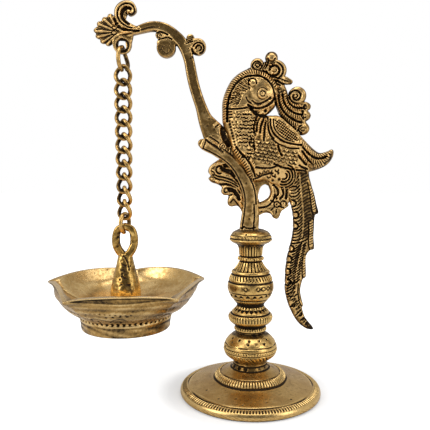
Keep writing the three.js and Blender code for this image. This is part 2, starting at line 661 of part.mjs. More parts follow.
// Stem: a loop of flat bar on a slender cone.
function panStem() {
  const steps = 22;
  const bottom = STEM_LENGTH - LOOP_HEIGHT;
  const rings = [];
  for (let i = 0; i < steps; i++) {
    const angle = (2 * Math.PI * i) / steps;
    const top = (1 + Math.cos(angle)) / 2;
    const halfBar = (LOOP_BAR * top + LOOP_SIDE_BAR * (1 - top)) / 2;
    const reach = (LOOP_WIDTH - LOOP_SIDE_BAR) / 2;
    const height = (LOOP_HEIGHT - LOOP_BAR / 2) / 2;
    const across = Math.sign(Math.sin(angle)) * Math.abs(Math.sin(angle)) ** (1.25 - 0.6 * top);
    const centre = new THREE.Vector3(across * reach, 0, bottom + height + Math.cos(angle) * height);
    const out = new THREE.Vector3(Math.sin(angle) * height, 0, Math.cos(angle) * reach).normalize();
    const ring = [];
    for (let j = 0; j < 8; j++) {
      const turn = (2 * Math.PI * j) / 8;
      ring.push(centre.clone()
        .addScaledVector(out, Math.cos(turn) * halfBar)
        .add(new THREE.Vector3(0, (Math.sin(turn) * LOOP_THICKNESS) / 2, 0)));
    }
    rings.push(ring);
  }
  const cone = [
    [0, 0], [STEM_BASE_RADIUS, 0], [STEM_BASE_RADIUS * 0.97, 8], [STEM_BASE_RADIUS * 0.9, 12.5],
    [STEM_BASE_RADIUS * 0.68, 22], [STEM_NECK_RADIUS * 1.12, 30.5],
    [STEM_NECK_RADIUS, 34], [STEM_NECK_RADIUS * 0.9, bottom + 1], [0, bottom + 1.2],
  ].map(([r, z]) => new THREE.Vector2(r, z));
  return join([
    skin(rings, true),
    new THREE.LatheGeometry(cone, 20).rotateX(Math.PI / 2),
  ]).translate([EYE_X, 0, panSeat]);
}

// Rim outline of the pan on a unit corner radius: sides bulge outwards between the corners.
function panOutline() {
  const sideSteps = 8;
  const halfTurn = Math.PI / PAN_CORNERS;
  const halfSide = Math.sin(halfTurn);
  const bulge = PAN_SIDE_BULGE / PAN_CORNER_RADIUS;
  const points = [];
  for (let side = 0; side < PAN_CORNERS; side++) {
    const facing = THREE.MathUtils.degToRad(90 + PAN_TURN) + halfTurn * (2 * side + 1);
    for (let i = 0; i < sideSteps; i++) {
      const share = (2 * i) / sideSteps - 1;
      const swell = 1 - share * share;
      const out = Math.cos(halfTurn) + bulge * swell;
      const along = share * halfSide;
      points.push({
        x: out * Math.cos(facing) - along * Math.sin(facing),
        y: out * Math.sin(facing) + along * Math.cos(facing),
        swell,
      });
    }
  }
  return points;
}

function lampPan() {
  const corner = PAN_CORNER_RADIUS;
  const top = PAN_CORNER_HEIGHT;
  const foot = PAN_FOOT_RADIUS;
  const seat = PAN_SEAT_RADIUS;
  const inner = foot - PAN_FOOT_WALL;
  const under = PAN_FLOOR_HEIGHT - PAN_WALL;
  const fall = (share) => PAN_FOOT_HEIGHT + (top - PAN_FOOT_HEIGHT) * share;
  const floor = (share) => PAN_FLOOR_HEIGHT + (top - PAN_FLOOR_HEIGHT) * share;
  // corner radius, how five-sided, height and share of the sides' rise
  const stations = [
    [inner, 0, under, 0],
    [inner, 0, 0, 0],
    [foot, 0, 0, 0],
    [foot + 1, 0, PAN_FOOT_HEIGHT, 0],
    [foot + 2, 0.05, fall(0.06), 0],
    [corner * 0.64, 0.35, fall(0.25), 0],
    [corner * 0.76, 0.7, fall(0.46), 0.1],
    [corner * 0.86, 0.88, fall(0.58), 0.3],
    [corner * 0.94, 1, fall(0.7), 0.5],
    [corner * 0.985, 1, fall(0.83), 0.8],
    [corner, 1, top - 0.8, 1],
    [corner - 0.6, 1, top, 1],
    [corner - PAN_WALL, 1, top, 1],
    [corner * 0.915, 1, floor(0.8), 0.8],
    [corner * 0.83, 0.88, floor(0.62), 0.3],
    [corner * 0.73, 0.7, floor(0.46), 0.1],
    [corner * 0.6, 0.35, floor(0.25), 0],
    [corner * 0.43, 0.05, floor(0.08), 0],
    [seat, 0, PAN_FLOOR_HEIGHT, 0],
  ];
  const outline = panOutline();
  const rings = stations.map(([radius, sided, height, rise]) => outline.map(({ x, y, swell }) => {
    const round = 1 / Math.hypot(x, y);
    const size = radius * (sided + (1 - sided) * round);
    return new THREE.Vector3(x * size, y * size, height + rise * swell * PAN_SIDE_RISE);
  }));
  return skin(rings).translate(EYE_X, 0, panBottom);
}

// Parts in their places
const lamp = new THREE.Group();
lamp.add(
  piece("foot", foot(), brightBrass),
  piece("tie_rod", tieRod(), darkBrass),
);
const stack = [
  ["lower_knop", lowerKnop, knopBottom],
  ["ribbed_disc", ribbedDisc, discBottom],
  ["vase", vase, vaseBottom],
];
for (const [name, shape, height] of stack) {
  const mesh = piece(name, shape(), castBrass);
  mesh.position.z = height;
  lamp.add(mesh);
}

const castings = new THREE.Group();
castings.position.z = pillarTop;
const birdSpace = peacock(CLEARANCE);
const strapSpace = strapSolid(CLEARANCE);
castings.add(
  piece("lamp_arm", lampArm(birdSpace), castBrass),
  piece("peacock", peacock(), castBrass),
  piece("peacock_tail", tail().subtract(birdSpace), castBrass),
  piece("leaf_scroll", leafScroll(strapSpace.add(birdSpace)), castBrass),
  piece("flower_bracket", flowerBracket(strapSpace.add(birdSpace).add(tail(CLEARANCE))), castBrass),
);
lamp.add(castings);

lamp.add(piece("top_ring",
  jumpRing(TOP_RING_LENGTH, TOP_RING_WIDTH, TOP_RING_TURN, topRingZ), darkBrass));
for (let i = 0; i < LINK_COUNT; i++) {
  const name = `chain_link_${String(i + 1).padStart(2, "0")}`;
  const turn = (-CHAIN_TURN * i) / (LINK_COUNT - 1);
  lamp.add(piece(name, chainLink(turn, firstLinkZ - i * linkPitch), darkBrass));
}
lamp.add(
  piece("bottom_ring",
    jumpRing(BOTTOM_RING_LENGTH, BOTTOM_RING_WIDTH, BOTTOM_RING_TURN, bottomRingZ), darkBrass),
  piece("pan_stem", panStem(), castBrass),
  piece("lamp_pan", lampPan(), brightBrass),
);

export default lamp;
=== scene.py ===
import math

import bpy
import numpy as np
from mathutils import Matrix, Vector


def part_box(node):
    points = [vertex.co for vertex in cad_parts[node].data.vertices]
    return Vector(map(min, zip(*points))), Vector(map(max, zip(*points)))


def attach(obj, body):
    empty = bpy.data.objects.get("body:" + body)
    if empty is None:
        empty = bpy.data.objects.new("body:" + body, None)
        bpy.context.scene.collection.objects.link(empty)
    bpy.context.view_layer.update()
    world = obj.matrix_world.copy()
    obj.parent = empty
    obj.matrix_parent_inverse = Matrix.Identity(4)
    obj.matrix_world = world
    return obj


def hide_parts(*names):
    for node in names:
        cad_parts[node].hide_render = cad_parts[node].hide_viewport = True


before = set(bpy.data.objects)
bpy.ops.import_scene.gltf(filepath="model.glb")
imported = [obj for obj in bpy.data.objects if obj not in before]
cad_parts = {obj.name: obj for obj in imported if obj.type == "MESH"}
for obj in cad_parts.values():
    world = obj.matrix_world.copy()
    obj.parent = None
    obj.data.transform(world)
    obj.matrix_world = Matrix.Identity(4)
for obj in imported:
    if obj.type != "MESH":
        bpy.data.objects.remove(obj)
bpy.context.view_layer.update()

MM = 0.001


# Sizes taken from the frame

def node_box(name):
    """Lowest and highest corner of a CAD node, in millimetres."""
    low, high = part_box(name)
    return np.array(low) / MM, np.array(high) / MM


PILLAR_TOP = node_box("vase")[1][2]
KNOP_BOTTOM = node_box("lower_knop")[0][2]
DISC_BOTTOM = node_box("ribbed_disc")[0][2]
VASE_BOTTOM = node_box("vase")[0][2]
CHAIN_X = sum(corner[0] for corner in node_box("pan_stem")) / 2
PAN_BOTTOM = node_box("lamp_pan")[0][2]
STEM_BOTTOM, STEM_TOP = (corner[2] for corner in node_box("pan_stem"))
EYE_Z = PILLAR_TOP + 119.3
EYE_REACH = 4.6
ROD_BORE = 3.3
OUTSIDE_BORE = 4
ROD_HOLE_DEPTH = 15.3


# Curves

def smooth_path(points, closed=False, steps=6):
    """Curve through points, with a few steps between each two. Further columns go along, such as widths."""
    p = np.array(points, float)
    if closed:
        p = np.vstack([p[-1], p, p[0], p[1]])
    else:
        p = np.vstack([2 * p[0] - p[1], p, 2 * p[-1] - p[-2]])
    t = (np.arange(steps) / steps)[:, None]
    rows = []
    for a, b, c, d in zip(p[:-3], p[1:-2], p[2:-1], p[3:]):
        rows.append(0.5 * (2 * b + (c - a) * t + (2 * a - 5 * b + 4 * c - d) * t ** 2
                           + (3 * b - 3 * c + d - a) * t ** 3))
    whole = np.vstack(rows)
    return np.vstack([whole, whole[:1] if closed else p[-2:-1]])


def arc_path(x, z, radius, start, end, steps=24, end_radius=None):
    """Arc or spiral round a centre, with its angles in degrees."""
    share = np.linspace(0, 1, steps + 1)
    angle = np.radians(start + (end - start) * share)
    reach = radius + ((radius if end_radius is None else end_radius) - radius) * share
    return np.stack([x + reach * np.cos(angle), z + reach * np.sin(angle)], 1)


def eased(share):
    """Soft course from 0 to 1."""
    return share * share * (3 - 2 * share)


def smoothstep(value, low, high):
    return eased(np.clip((value - low) / (high - low), 0, 1))


def half_round(gap):
    """Height of a half circle of radius 1, at a gap from its middle."""
    return np.sqrt(np.clip(1 - gap ** 2, 0, 1))


def lengths_along(path):
    """Length of a path up to each of its points."""
    return np.concatenate([[0], np.cumsum(np.hypot(*np.diff(path, axis=0).T))])


def point_at(path, lengths, s):
    return tuple(np.interp(s, lengths, path[:, i]) for i in (0, 1))


def blurred(field, radius, wrap=False):
    """Gaussian blur of a 2D array, with its radius in cells. The second axis can wrap round."""
    half = int(math.ceil(2.5 * radius))
    weights = np.exp(-0.5 * (np.arange(-half, half + 1) / radius) ** 2)
    weights /= weights.sum()
    for axis in (0, 1):
        mode = "wrap" if wrap and axis == 1 else "edge"
        pad = [(half, half) if axis == i else (0, 0) for i in (0, 1)]
        padded = np.pad(field, pad, mode=mode)
        size = field.shape[axis]
        field = sum(w * np.take(padded, np.arange(i, i + size), axis) for i, w in enumerate(weights))
    return field


# Canvas: a relief drawn on the XZ plane and given a thickness

# Place of the photograph's camera: x and z, and distance in front of the plane
VIEW_CENTRE = np.array([-23.7, 149.8])
VIEW_DISTANCE = 361.6
# Grid kept round each part, and the distance written where no part is near
PART_MARGIN = 4
FAR_OUTSIDE = 4.0
# Half thickness that no groove cuts into, and the fillet between parts
THINNEST = 0.6
BLEND = 0.5
# Reaches over which a hollow is told from the surface around it
FINE, BROAD = 1.0, 3.0


class Canvas:
    """Grid over the XZ plane that holds the relief of a flat casting, in millimetres."""

    def __init__(self, low, high, step):
        self.low = np.array(low, float)
        self.step = step
        self.shape = tuple(np.ceil((np.array(high, float) - self.low) / step).astype(int) + 1)
        self.x = self.low[0] + step * np.arange(self.shape[0])[:, None]
        self.z = self.low[1] + step * np.arange(self.shape[1])[None, :]
        self.relief = np.zeros(self.shape)
        self.parts = []
        self.depth = 0.0
        self.worn = 0.0
        self.tarnish_and_painted_shade = 0.0

    def placed(self, path):
        """Lines drawn as the camera sees them, moved so that they lie right on a face at the set depth."""
        path = np.atleast_2d(np.array(path, float))
        path[:, :2] = VIEW_CENTRE + (path[:, :2] - VIEW_CENTRE) * (1 - self.depth / VIEW_DISTANCE)
        return path

    def window(self, path, reach):
        """Slices of the grid around a path."""
        low = np.floor((path[:, :2].min(0) - reach - self.low) / self.step).astype(int)
        high = np.ceil((path[:, :2].max(0) + reach - self.low) / self.step).astype(int) + 1
        low = np.clip(low, 0, self.shape)
        high = np.clip(high, 0, self.shape)
        return slice(low[0], high[0]), slice(low[1], high[1])

    def near(self, path, reach):
        """Around a path: distance beyond its half width, length along it, side and carried columns."""
        path = np.array(path, float)
        sx, sz = self.window(path, reach)
        x, z = self.x[sx], self.z[:, sz]
        shape = (x.shape[0], z.shape[1])
        best = np.full(shape, float(reach))
        along, side = np.zeros(shape), np.zeros(shape)
        carried = np.zeros(shape + (path.shape[1] - 2,))
        start = 0.0
        for a, b in zip(path[:-1], path[1:]):
            dx, dz = b[0] - a[0], b[1] - a[1]
            length = math.hypot(dx, dz)
            if length < 1e-9:
                continue
            t = np.clip(((x - a[0]) * dx + (z - a[1]) * dz) / length ** 2, 0, 1)
            px, pz = x - a[0] - t * dx, z - a[1] - t * dz
            score = np.hypot(px, pz)
            if path.shape[1] > 2:
                score = score - (a[2] + t * (b[2] - a[2]))
            closer = score < best
            best = np.where(closer, score, best)
            along = np.where(closer, start + t * length, along)
            side = np.where(closer, (dx * pz - dz * px) / length, side)
            if path.shape[1] > 2:
                row = a[2:] + t[..., None] * (b[2:] - a[2:])
                carried = np.where(closer[..., None], row, carried)
            start += length
        return (sx, sz), best, along, side, carried

    def polygon(self, outline, reach=60):
        """Distance to an outline, positive inside it, on the whole grid."""
        outline = np.array(outline, float)
        closed = np.vstack([outline, outline[:1]])
        place, best, _, _, _ = self.near(closed, reach)
        distance = np.full(self.shape, -float(reach))
        x, z = self.x[place[0]], self.z[:, place[1]]
        inside = np.zeros((x.shape[0], z.shape[1]), bool)
        for a, b in zip(closed[:-1], closed[1:]):
            if a[1] == b[1]:
                continue
            crosses = (a[1] > z) != (b[1] > z)
            inside ^= crosses & (x < a[0] + (z - a[1]) * (b[0] - a[0]) / (b[1] - a[1]))
        distance[place] = np.where(inside, best, -best)
        return distance

    # Parts: what makes the outline and the thickness

    def add_stroke(self, rows, thickness, edge=1.2, steps=6):
        """Bar along rows of x, z, half width, share of the thickness and shift to the back."""
        rows = [(list(row) + [1.0, 0.0][len(row) - 3:])[:5] for row in rows]
        path = smooth_path(rows, steps=steps)
        widest = path[:, 2].max()
        place, best, _, _, carried = self.near(path, widest + PART_MARGIN)
        half = carried[..., 1] * thickness / 2
        self.parts.append((place, -best, half, edge, carried[..., 2:]))

    def add_shape(self, outline, thickness, edge=1.2, dome=0.0, dome_reach=6.0):
        """Plate with an outline. A dome makes it thinner towards its edge, over a reach."""
        path = smooth_path(outline, closed=True)[:-1]
        distance = self.polygon(path)
        place = self.window(path, PART_MARGIN)
        distance = distance[place]
        reach = np.clip(distance / dome_reach, 0, 1)
        if callable(thickness):
            thickness = thickness(self.x[place[0]], self.z[:, place[1]])
        half = thickness / 2 - dome * (1 - half_round(1 - reach))
        self.parts.append((place, distance, half, edge, 0.0))

    def add_disc(self, x, z, radius, thickness, edge=1.2, dome=0.0):
        path = np.array([[x - radius, z - radius], [x + radius, z + radius]])
        place = self.window(path, PART_MARGIN)
        distance = radius - np.hypot(self.x[place[0]] - x, self.z[:, place[1]] - z)
        reach = np.clip(distance / radius, 0, 1)
        half = thickness / 2 - dome * (1 - half_round(1 - reach))
        self.parts.append((place, distance, half, edge, 0.0))

    # Relief: what is chased into the faces

    def groove(self, path, width, depth):
        """Cut with a flat bottom and slightly raised lips."""
        path = self.placed(path)[:, :2]
        place, best, along, _, _ = self.near(path, 2.2 * width)
        sway = np.sin(1.1 * along + 3 * path[0, 0]) + 0.7 * np.sin(2.7 * along + 5 * path[0, 1])
        best = best / (width * (1 + 0.12 * sway))
        share = np.clip(1.5 * (1 - best), 0, 1)
        lip = np.exp(-((best - 1.35) / 0.35) ** 2)
        self.relief[place] += depth * (1 - 0.2 * sway) * (0.16 * lip - eased(share))

    def ridge(self, path, width, height):
        place, best, _, _, _ = self.near(self.placed(path)[:, :2], width)
        share = np.clip(1 - (best / width) ** 2, 0, 1)
        self.relief[place] += height * np.sqrt(share) * share

    def chase(self, *lines):
        """Lines along smooth paths: width, then height, which is below zero for a groove, then points."""
        for width, height, *points in lines:
            self.line(smooth_path(points), width, height)

    def arcs(self, *lines):
        """The same along arcs: width, then height, then what arc_path takes."""
        for width, height, *arc in lines:
            self.line(arc_path(*arc), width, height)

    def line(self, path, width, height):
        if height < 0:
            self.groove(path, width, -height)
        else:
            self.ridge(path, width, height)

    def rope(self, points, width, height, pitch, slant=0.0, depth=0.7):
        """Raised band along a smooth path, cut across into beads."""
        place, best, along, side, _ = self.near(self.placed(smooth_path(points))[:, :2], width)
        wave = 0.5 + 0.5 * np.cos(2 * math.pi * (along + slant * side) / pitch)
        self.relief[place] += height * half_round(best / width) * (1 - depth * (1 - wave) ** 2)

    def dome(self, x, z, radius, height):
        x, z = self.placed((x, z))[0]
        place = self.window(np.array([[x, z]]), radius)
        gap = np.hypot(self.x[place[0]] - x, self.z[:, place[1]] - z) / radius
        self.relief[place] += height * half_round(gap)

    def pit(self, x, z, radius, depth):
        x, z = self.placed((x, z))[0]
        place = self.window(np.array([[x, z]]), 1.6 * radius)
        gap = np.hypot(self.x[place[0]] - x, self.z[:, place[1]] - z) / radius
        self.relief[place] -= depth * np.exp(-gap ** 2 * 1.5)

    def uneven(self, seed, *waves):
        """Small bumps all over, as casting and filing leave them, from pairs of length and height."""
        draw = np.random.RandomState(seed)
        for length, height in waves:
            bumps = blurred(draw.normal(size=self.shape), length / self.step)
            self.relief += height * bumps / bumps.std()

    def beads(self, points, pitch, radius, height):
        """Domes set along a smooth path."""
        path = smooth_path(points)
        lengths = lengths_along(path)
        for s in np.arange(pitch / 2, lengths[-1], pitch):
            self.dome(*point_at(path, lengths, s), radius, height)

    # Solid

    def solid(self):
        """Signed distance of all the parts together, negative inside, on an x, z, y grid."""
        deepest = max(float(np.max(half + np.abs(shift).max())) for _, _, half, _, shift in self.parts)
        deepest += float(self.relief.max())
        count = int(math.ceil((deepest + 1.2) / self.step))
        y = self.step * np.arange(-count, count + 1)
        field = np.full(self.shape + (y.size,), FAR_OUTSIDE, np.float32)
        for place, distance, half, edge, shift in self.parts:
            inward = (edge - distance)[..., None]
            cut = np.maximum(half + self.relief[place], np.minimum(half, THINNEST))
            outward = np.abs(y - shift) - (cut - edge)[..., None]
            shape = np.minimum(np.maximum(inward, outward), 0) - edge
            shape = shape + np.hypot(np.maximum(inward, 0), np.maximum(outward, 0))
            current = field[place]
            mix = np.clip(BLEND - np.abs(current - shape), 0, None) / BLEND
            field[place] = np.minimum(current, shape) - mix * mix * BLEND / 4
        return field, y


def surface_of(field):
    """Vertices, in cells of the grid, and quads of the surface where the field is zero."""
    inside = field < 0
    shape = np.array(field.shape)
    cells = tuple(shape - 1)
    total = np.zeros(cells + (3,), np.float32)
    count = np.zeros(cells, np.float32)
    edges = []
    for axis in range(3):
        first = [slice(None)] * 3
        second = [slice(None)] * 3
        first[axis] = slice(0, -1)
        second[axis] = slice(1, None)
        crossing = inside[tuple(first)] != inside[tuple(second)]
        at = np.argwhere(crossing)
        a = field[tuple(first)][crossing]
        b = field[tuple(second)][crossing]
        point = at.astype(np.float32)
        point[:, axis] += a / (a - b)
        others = [i for i in range(3) if i != axis]
        for du in (0, 1):
            for dv in (0, 1):
                cell = at.copy()
                cell[:, others[0]] -= du
                cell[:, others[1]] -= dv
                index = np.ravel_multi_index(cell.T, cells, mode="clip")
                flat = total.reshape(-1, 3)
                for k in range(3):
                    flat[:, k] += np.bincount(index, point[:, k], flat.shape[0]).astype(np.float32)
                count.reshape(-1)[:] += np.bincount(index, minlength=count.size)
        edges.append((axis, others, at, a < 0))
    used = count > 0
    number = np.full(cells, -1)
    number[used] = np.arange(used.sum())
    vertices = total[used] / count[used][:, None]
    faces = []
    for axis, others, at, starts_inside in edges:
        corners = []
        for du, dv in ((1, 1), (0, 1), (0, 0), (1, 0)):
            cell = at.copy()
            cell[:, others[0]] -= du
            cell[:, others[1]] -= dv
            corners.append(number[tuple(cell.T)])
        quads = np.stack(corners, 1)
        turn = starts_inside if axis != 1 else ~starts_inside
        quads[~turn] = quads[~turn][:, ::-1]
        faces.append(quads)
    return vertices, np.vstack(faces)


def sampled(field, points):
    """Values of a 2D or 3D array between its cells."""
    size = np.array(field.shape)
    p = np.clip(points, 0, size - 1.001)
    base = np.floor(p).astype(int)
    part = p - base
    total = 0.0
    for corner in np.ndindex(*([2] * field.ndim)):
        weight = np.prod(np.where(corner, part, 1 - part), axis=1)
        total = total + weight * field[tuple((base + corner).T)]
    return total


def slope_of(field, points):
    """Direction in which the field grows, at points between its cells."""
    slope = np.stack([
        sampled(field, points + 0.5 * unit) - sampled(field, points - 0.5 * unit)
        for unit in np.eye(3)], 1)
    return slope / np.maximum(np.linalg.norm(slope, axis=1, keepdims=True), 1e-9)


def cast_from(canvas):
    """Vertices in millimetres, faces and cavity of a canvas's casting."""
    field, y = canvas.solid()
    vertices, faces = surface_of(field)
    slope = slope_of(field, vertices)
    for _ in range(2):
        gap = sampled(field, vertices) / canvas.step
        vertices = vertices - np.clip(gap, -0.6, 0.6)[:, None] * slope
    facing = np.abs(slope[:, 2])
    fine = canvas.relief - blurred(canvas.relief, FINE / canvas.step)
    broad = canvas.relief - blurred(canvas.relief, BROAD / canvas.step)
    flat = vertices[:, :2]
    cavity = -facing * (1.6 * sampled(fine, flat) + 0.5 * sampled(broad, flat))
    # Darker where another surface is near: patina in these pockets, together with painted shade where the
    # surfaces close in.
    for reach in (1.2, 3.0):
        open_air = sampled(field, vertices + slope * reach / canvas.step)
        cavity = cavity + 0.35 * np.clip(1 - open_air / reach, 0, 1)
    low = np.array([canvas.low[0], canvas.low[1], y[0]])
    points = vertices * canvas.step + low
    cavity = cavity + canvas.tarnish_and_painted_shade - canvas.worn * smoothstep(np.abs(points[:, 2]), 4.5, 9.5)
    return points[:, [0, 2, 1]], faces, cavity


# Pieces

def add_piece(name, points, faces, cavity, material, body, nodes):
    """Mesh in the CAD frame, with its cavity kept for the patina and for the painted shade and painted
    highlights that some pieces add to it, in place of CAD nodes.
    """
    mesh = bpy.data.meshes.new(name)
    faces = faces.tolist() if isinstance(faces, np.ndarray) else faces
    mesh.from_pydata((np.asarray(points) * MM).tolist(), [], faces)
    mesh.validate()
    attribute = mesh.attributes.new("cavity", "FLOAT", "POINT")
    attribute.data.foreach_set("value", np.asarray(cavity, np.float32))
    mesh.polygons.foreach_set("use_smooth", [True] * len(mesh.polygons))
    mesh.materials.append(material)
    mesh.update()
    piece = bpy.data.objects.new(name, mesh)
    bpy.context.scene.collection.objects.link(piece)
    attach(piece, body)
    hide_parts(*nodes)


def add_casting(name, canvas, node):
    points, faces, cavity = cast_from(canvas)
    add_piece(name, points, faces, cavity, CHASED, "stand", [node])


def grid_faces(rows, columns, joined=False):
    """Quads between rings of points, wrapped round, and joined end to start if asked."""
    bands = rows if joined else rows - 1
    i, j = np.meshgrid(np.arange(bands), np.arange(columns), indexing="ij")
    up = (i + 1) % rows
    right = (j + 1) % columns
    quads = [i * columns + j, i * columns + right, up * columns + right, up * columns + j]
    return np.stack([q.ravel() for q in quads], 1)


def capped_faces(rows, columns):
    """Faces of a tube of rings, with a cap at each end."""
    faces = grid_faces(rows, columns).tolist()
    faces.append(list(range(columns))[::-1])
    faces.append(list(range((rows - 1) * columns, rows * columns)))
    return faces


def even_profile(profile, spacing):
    """Points along a profile of radius and height, at even spacing."""
    lengths = lengths_along(profile)
    s = np.linspace(0, lengths[-1], int(lengths[-1] / spacing) + 1)
    return np.stack(point_at(profile, lengths, s), 1)


def from_axis(points):
    """Distance of each point from the Z axis."""
    return np.hypot(points[:, 0], points[:, 1])


def turned_body(profile, relief, columns, spacing, inner=None):
    """Body turned about Z: an outer profile from bottom to top, with a relief, and the rod's bore inside.

    The relief gets the angle, radius and height of each point, and gives how far it stands out.
    """
    outer = even_profile(profile, spacing)
    angle = 2 * math.pi * np.arange(columns) / columns
    r = outer[:, 0][:, None] + np.zeros(columns)
    z = outer[:, 1][:, None] + np.zeros(columns)
    out = relief(angle[None, :], r, z)
    along = np.gradient(outer, axis=0)
    along /= np.maximum(np.hypot(*along.T), 1e-9)[:, None]
    r = r + out * along[:, 1][:, None]
    z = z - out * along[:, 0][:, None]
    fine = out - blurred(out, FINE / spacing, wrap=True)
    broad = out - blurred(out, BROAD / spacing, wrap=True)
    bend = np.gradient(along[:, 0]) * along[:, 1] - np.gradient(along[:, 1]) * along[:, 0]
    bend = blurred(bend[:, None] / spacing + np.zeros((1, 3)), FINE / spacing)[:, :1]
    cavity = -2.3 * fine - 0.8 * broad + np.clip(1.2 * bend, -0.3, 0.6)
    rings = [np.stack([r * np.cos(angle), r * np.sin(angle), z], 2)]
    inner = inner or [(ROD_BORE, profile[-1][1]), (ROD_BORE, profile[0][1])]
    for radius, height in inner:
        ring = np.stack([radius * np.cos(angle), radius * np.sin(angle),
                         np.full(columns, float(height))], 1)
        rings.append(ring[None])
    points = np.vstack(rings).reshape(-1, 3)
    cavity = np.concatenate([cavity.ravel(), np.full(len(inner) * columns, 0.5)])
    faces = grid_faces(len(outer) + len(inner), columns, joined=True)
    return points, faces, cavity


# Relief patterns on turned bodies, from the angle, radius or height of every point

def turns_of(angle, count, shift=0.0):
    """Turn that each angle lies in, where a whole turn has a count of them."""
    return angle * count / (2 * math.pi) + shift


def wobble(angle, seed):
    """Slow uneven wave round a body, as hand work leaves."""
    draw = np.random.RandomState(seed)
    total = 0.0
    for waves in (2, 3, 5, 7, 11):
        total = total + draw.uniform(0.3, 1) * np.sin(waves * angle + draw.uniform(0, 6.28))
    return total / 2


def ring_groove(z, height, width, depth):
    return -depth * eased(np.clip(1 - np.abs(z - height) / width, 0, 1))


def ring_ridge(z, height, width, rise):
    return rise * half_round((z - height) / width)


def between(z, low, high, soft=0.5):
    return smoothstep(z, low - soft, low + soft) * (1 - smoothstep(z, high - soft, high + soft))


def cuts(angle, count, width, depth, uneven=0.3):
    """Grooves down a body, their width a share of their spacing, each of its own depth."""
    turn = turns_of(angle, count)
    share = np.clip(1.7 * (1 - np.abs(turn % 1.0 - 0.5) * 2 / width), 0, 1)
    strength = 1 + uneven * np.sin(7.3 * (np.floor(turn) % count) ** 1.3)
    return -depth * strength * eased(share)


def marks(angle, r, z, height, count, radius, depth, squeeze=1.0, shift=0.0, arch=0.0):
    """Row of punched marks round a body. An arch bends each one into a crescent."""
    turn = turns_of(angle, count, shift)
    across = (turn % 1.0 - 0.5) * 2 * math.pi * r / count
    up = (z - height) + arch * across ** 2
    gap = np.hypot(across / squeeze, up) / radius
    strength = 1 + 0.45 * np.sin(5.1 * (np.floor(turn) % count) ** 1.3)
    return -depth * strength * np.exp(-1.5 * gap ** 4)


def bead_row(angle, r, z, height, count, radius, rise):
    across = (turns_of(angle, count) % 1.0 - 0.5) * 2 * math.pi * r / count
    return rise * half_round(np.hypot(across, z - height) / radius)


# Materials

class Graph:
    """Short way to make and join shader nodes."""

    def __init__(self, tree):
        self.tree = tree
        tree.nodes.clear()

    def node(self, kind, settings=None, **inputs):
        made = self.tree.nodes.new(kind)
        for key, value in (settings or {}).items():
            setattr(made, key, value)
        for key, value in inputs.items():
            socket = made.inputs[int(key[1:])] if key[1:].isdigit() else made.inputs[key.replace("_", " ")]
            if isinstance(value, bpy.types.NodeSocket):
                self.tree.links.new(value, socket)
            else:
                socket.default_value = value
        return made

    def math(self, operation, a, b):
        return self.node("ShaderNodeMath", {"operation": operation}, i0=a, i1=b).outputs[0]

    def noise(self, place, scale, detail=3.0, roughness=0.55):
        made = self.node("ShaderNodeTexNoise", None, Vector=place, Scale=scale, Detail=detail,
                         Roughness=roughness)
        return made.outputs["Fac"]

    def spread(self, value, low, high, out_low=0.0, out_high=1.0):
        made = self.node("ShaderNodeMapRange", {"interpolation_type": "SMOOTHSTEP"},
                         Value=value, From_Min=low, From_Max=high, To_Min=out_low, To_Max=out_high)
        return made.outputs["Result"]

    def mix(self, factor, a, b):
        made = self.node("ShaderNodeMix", {"data_type": "RGBA"}, i0=factor, i6=a, i7=b)
        return made.outputs[2]


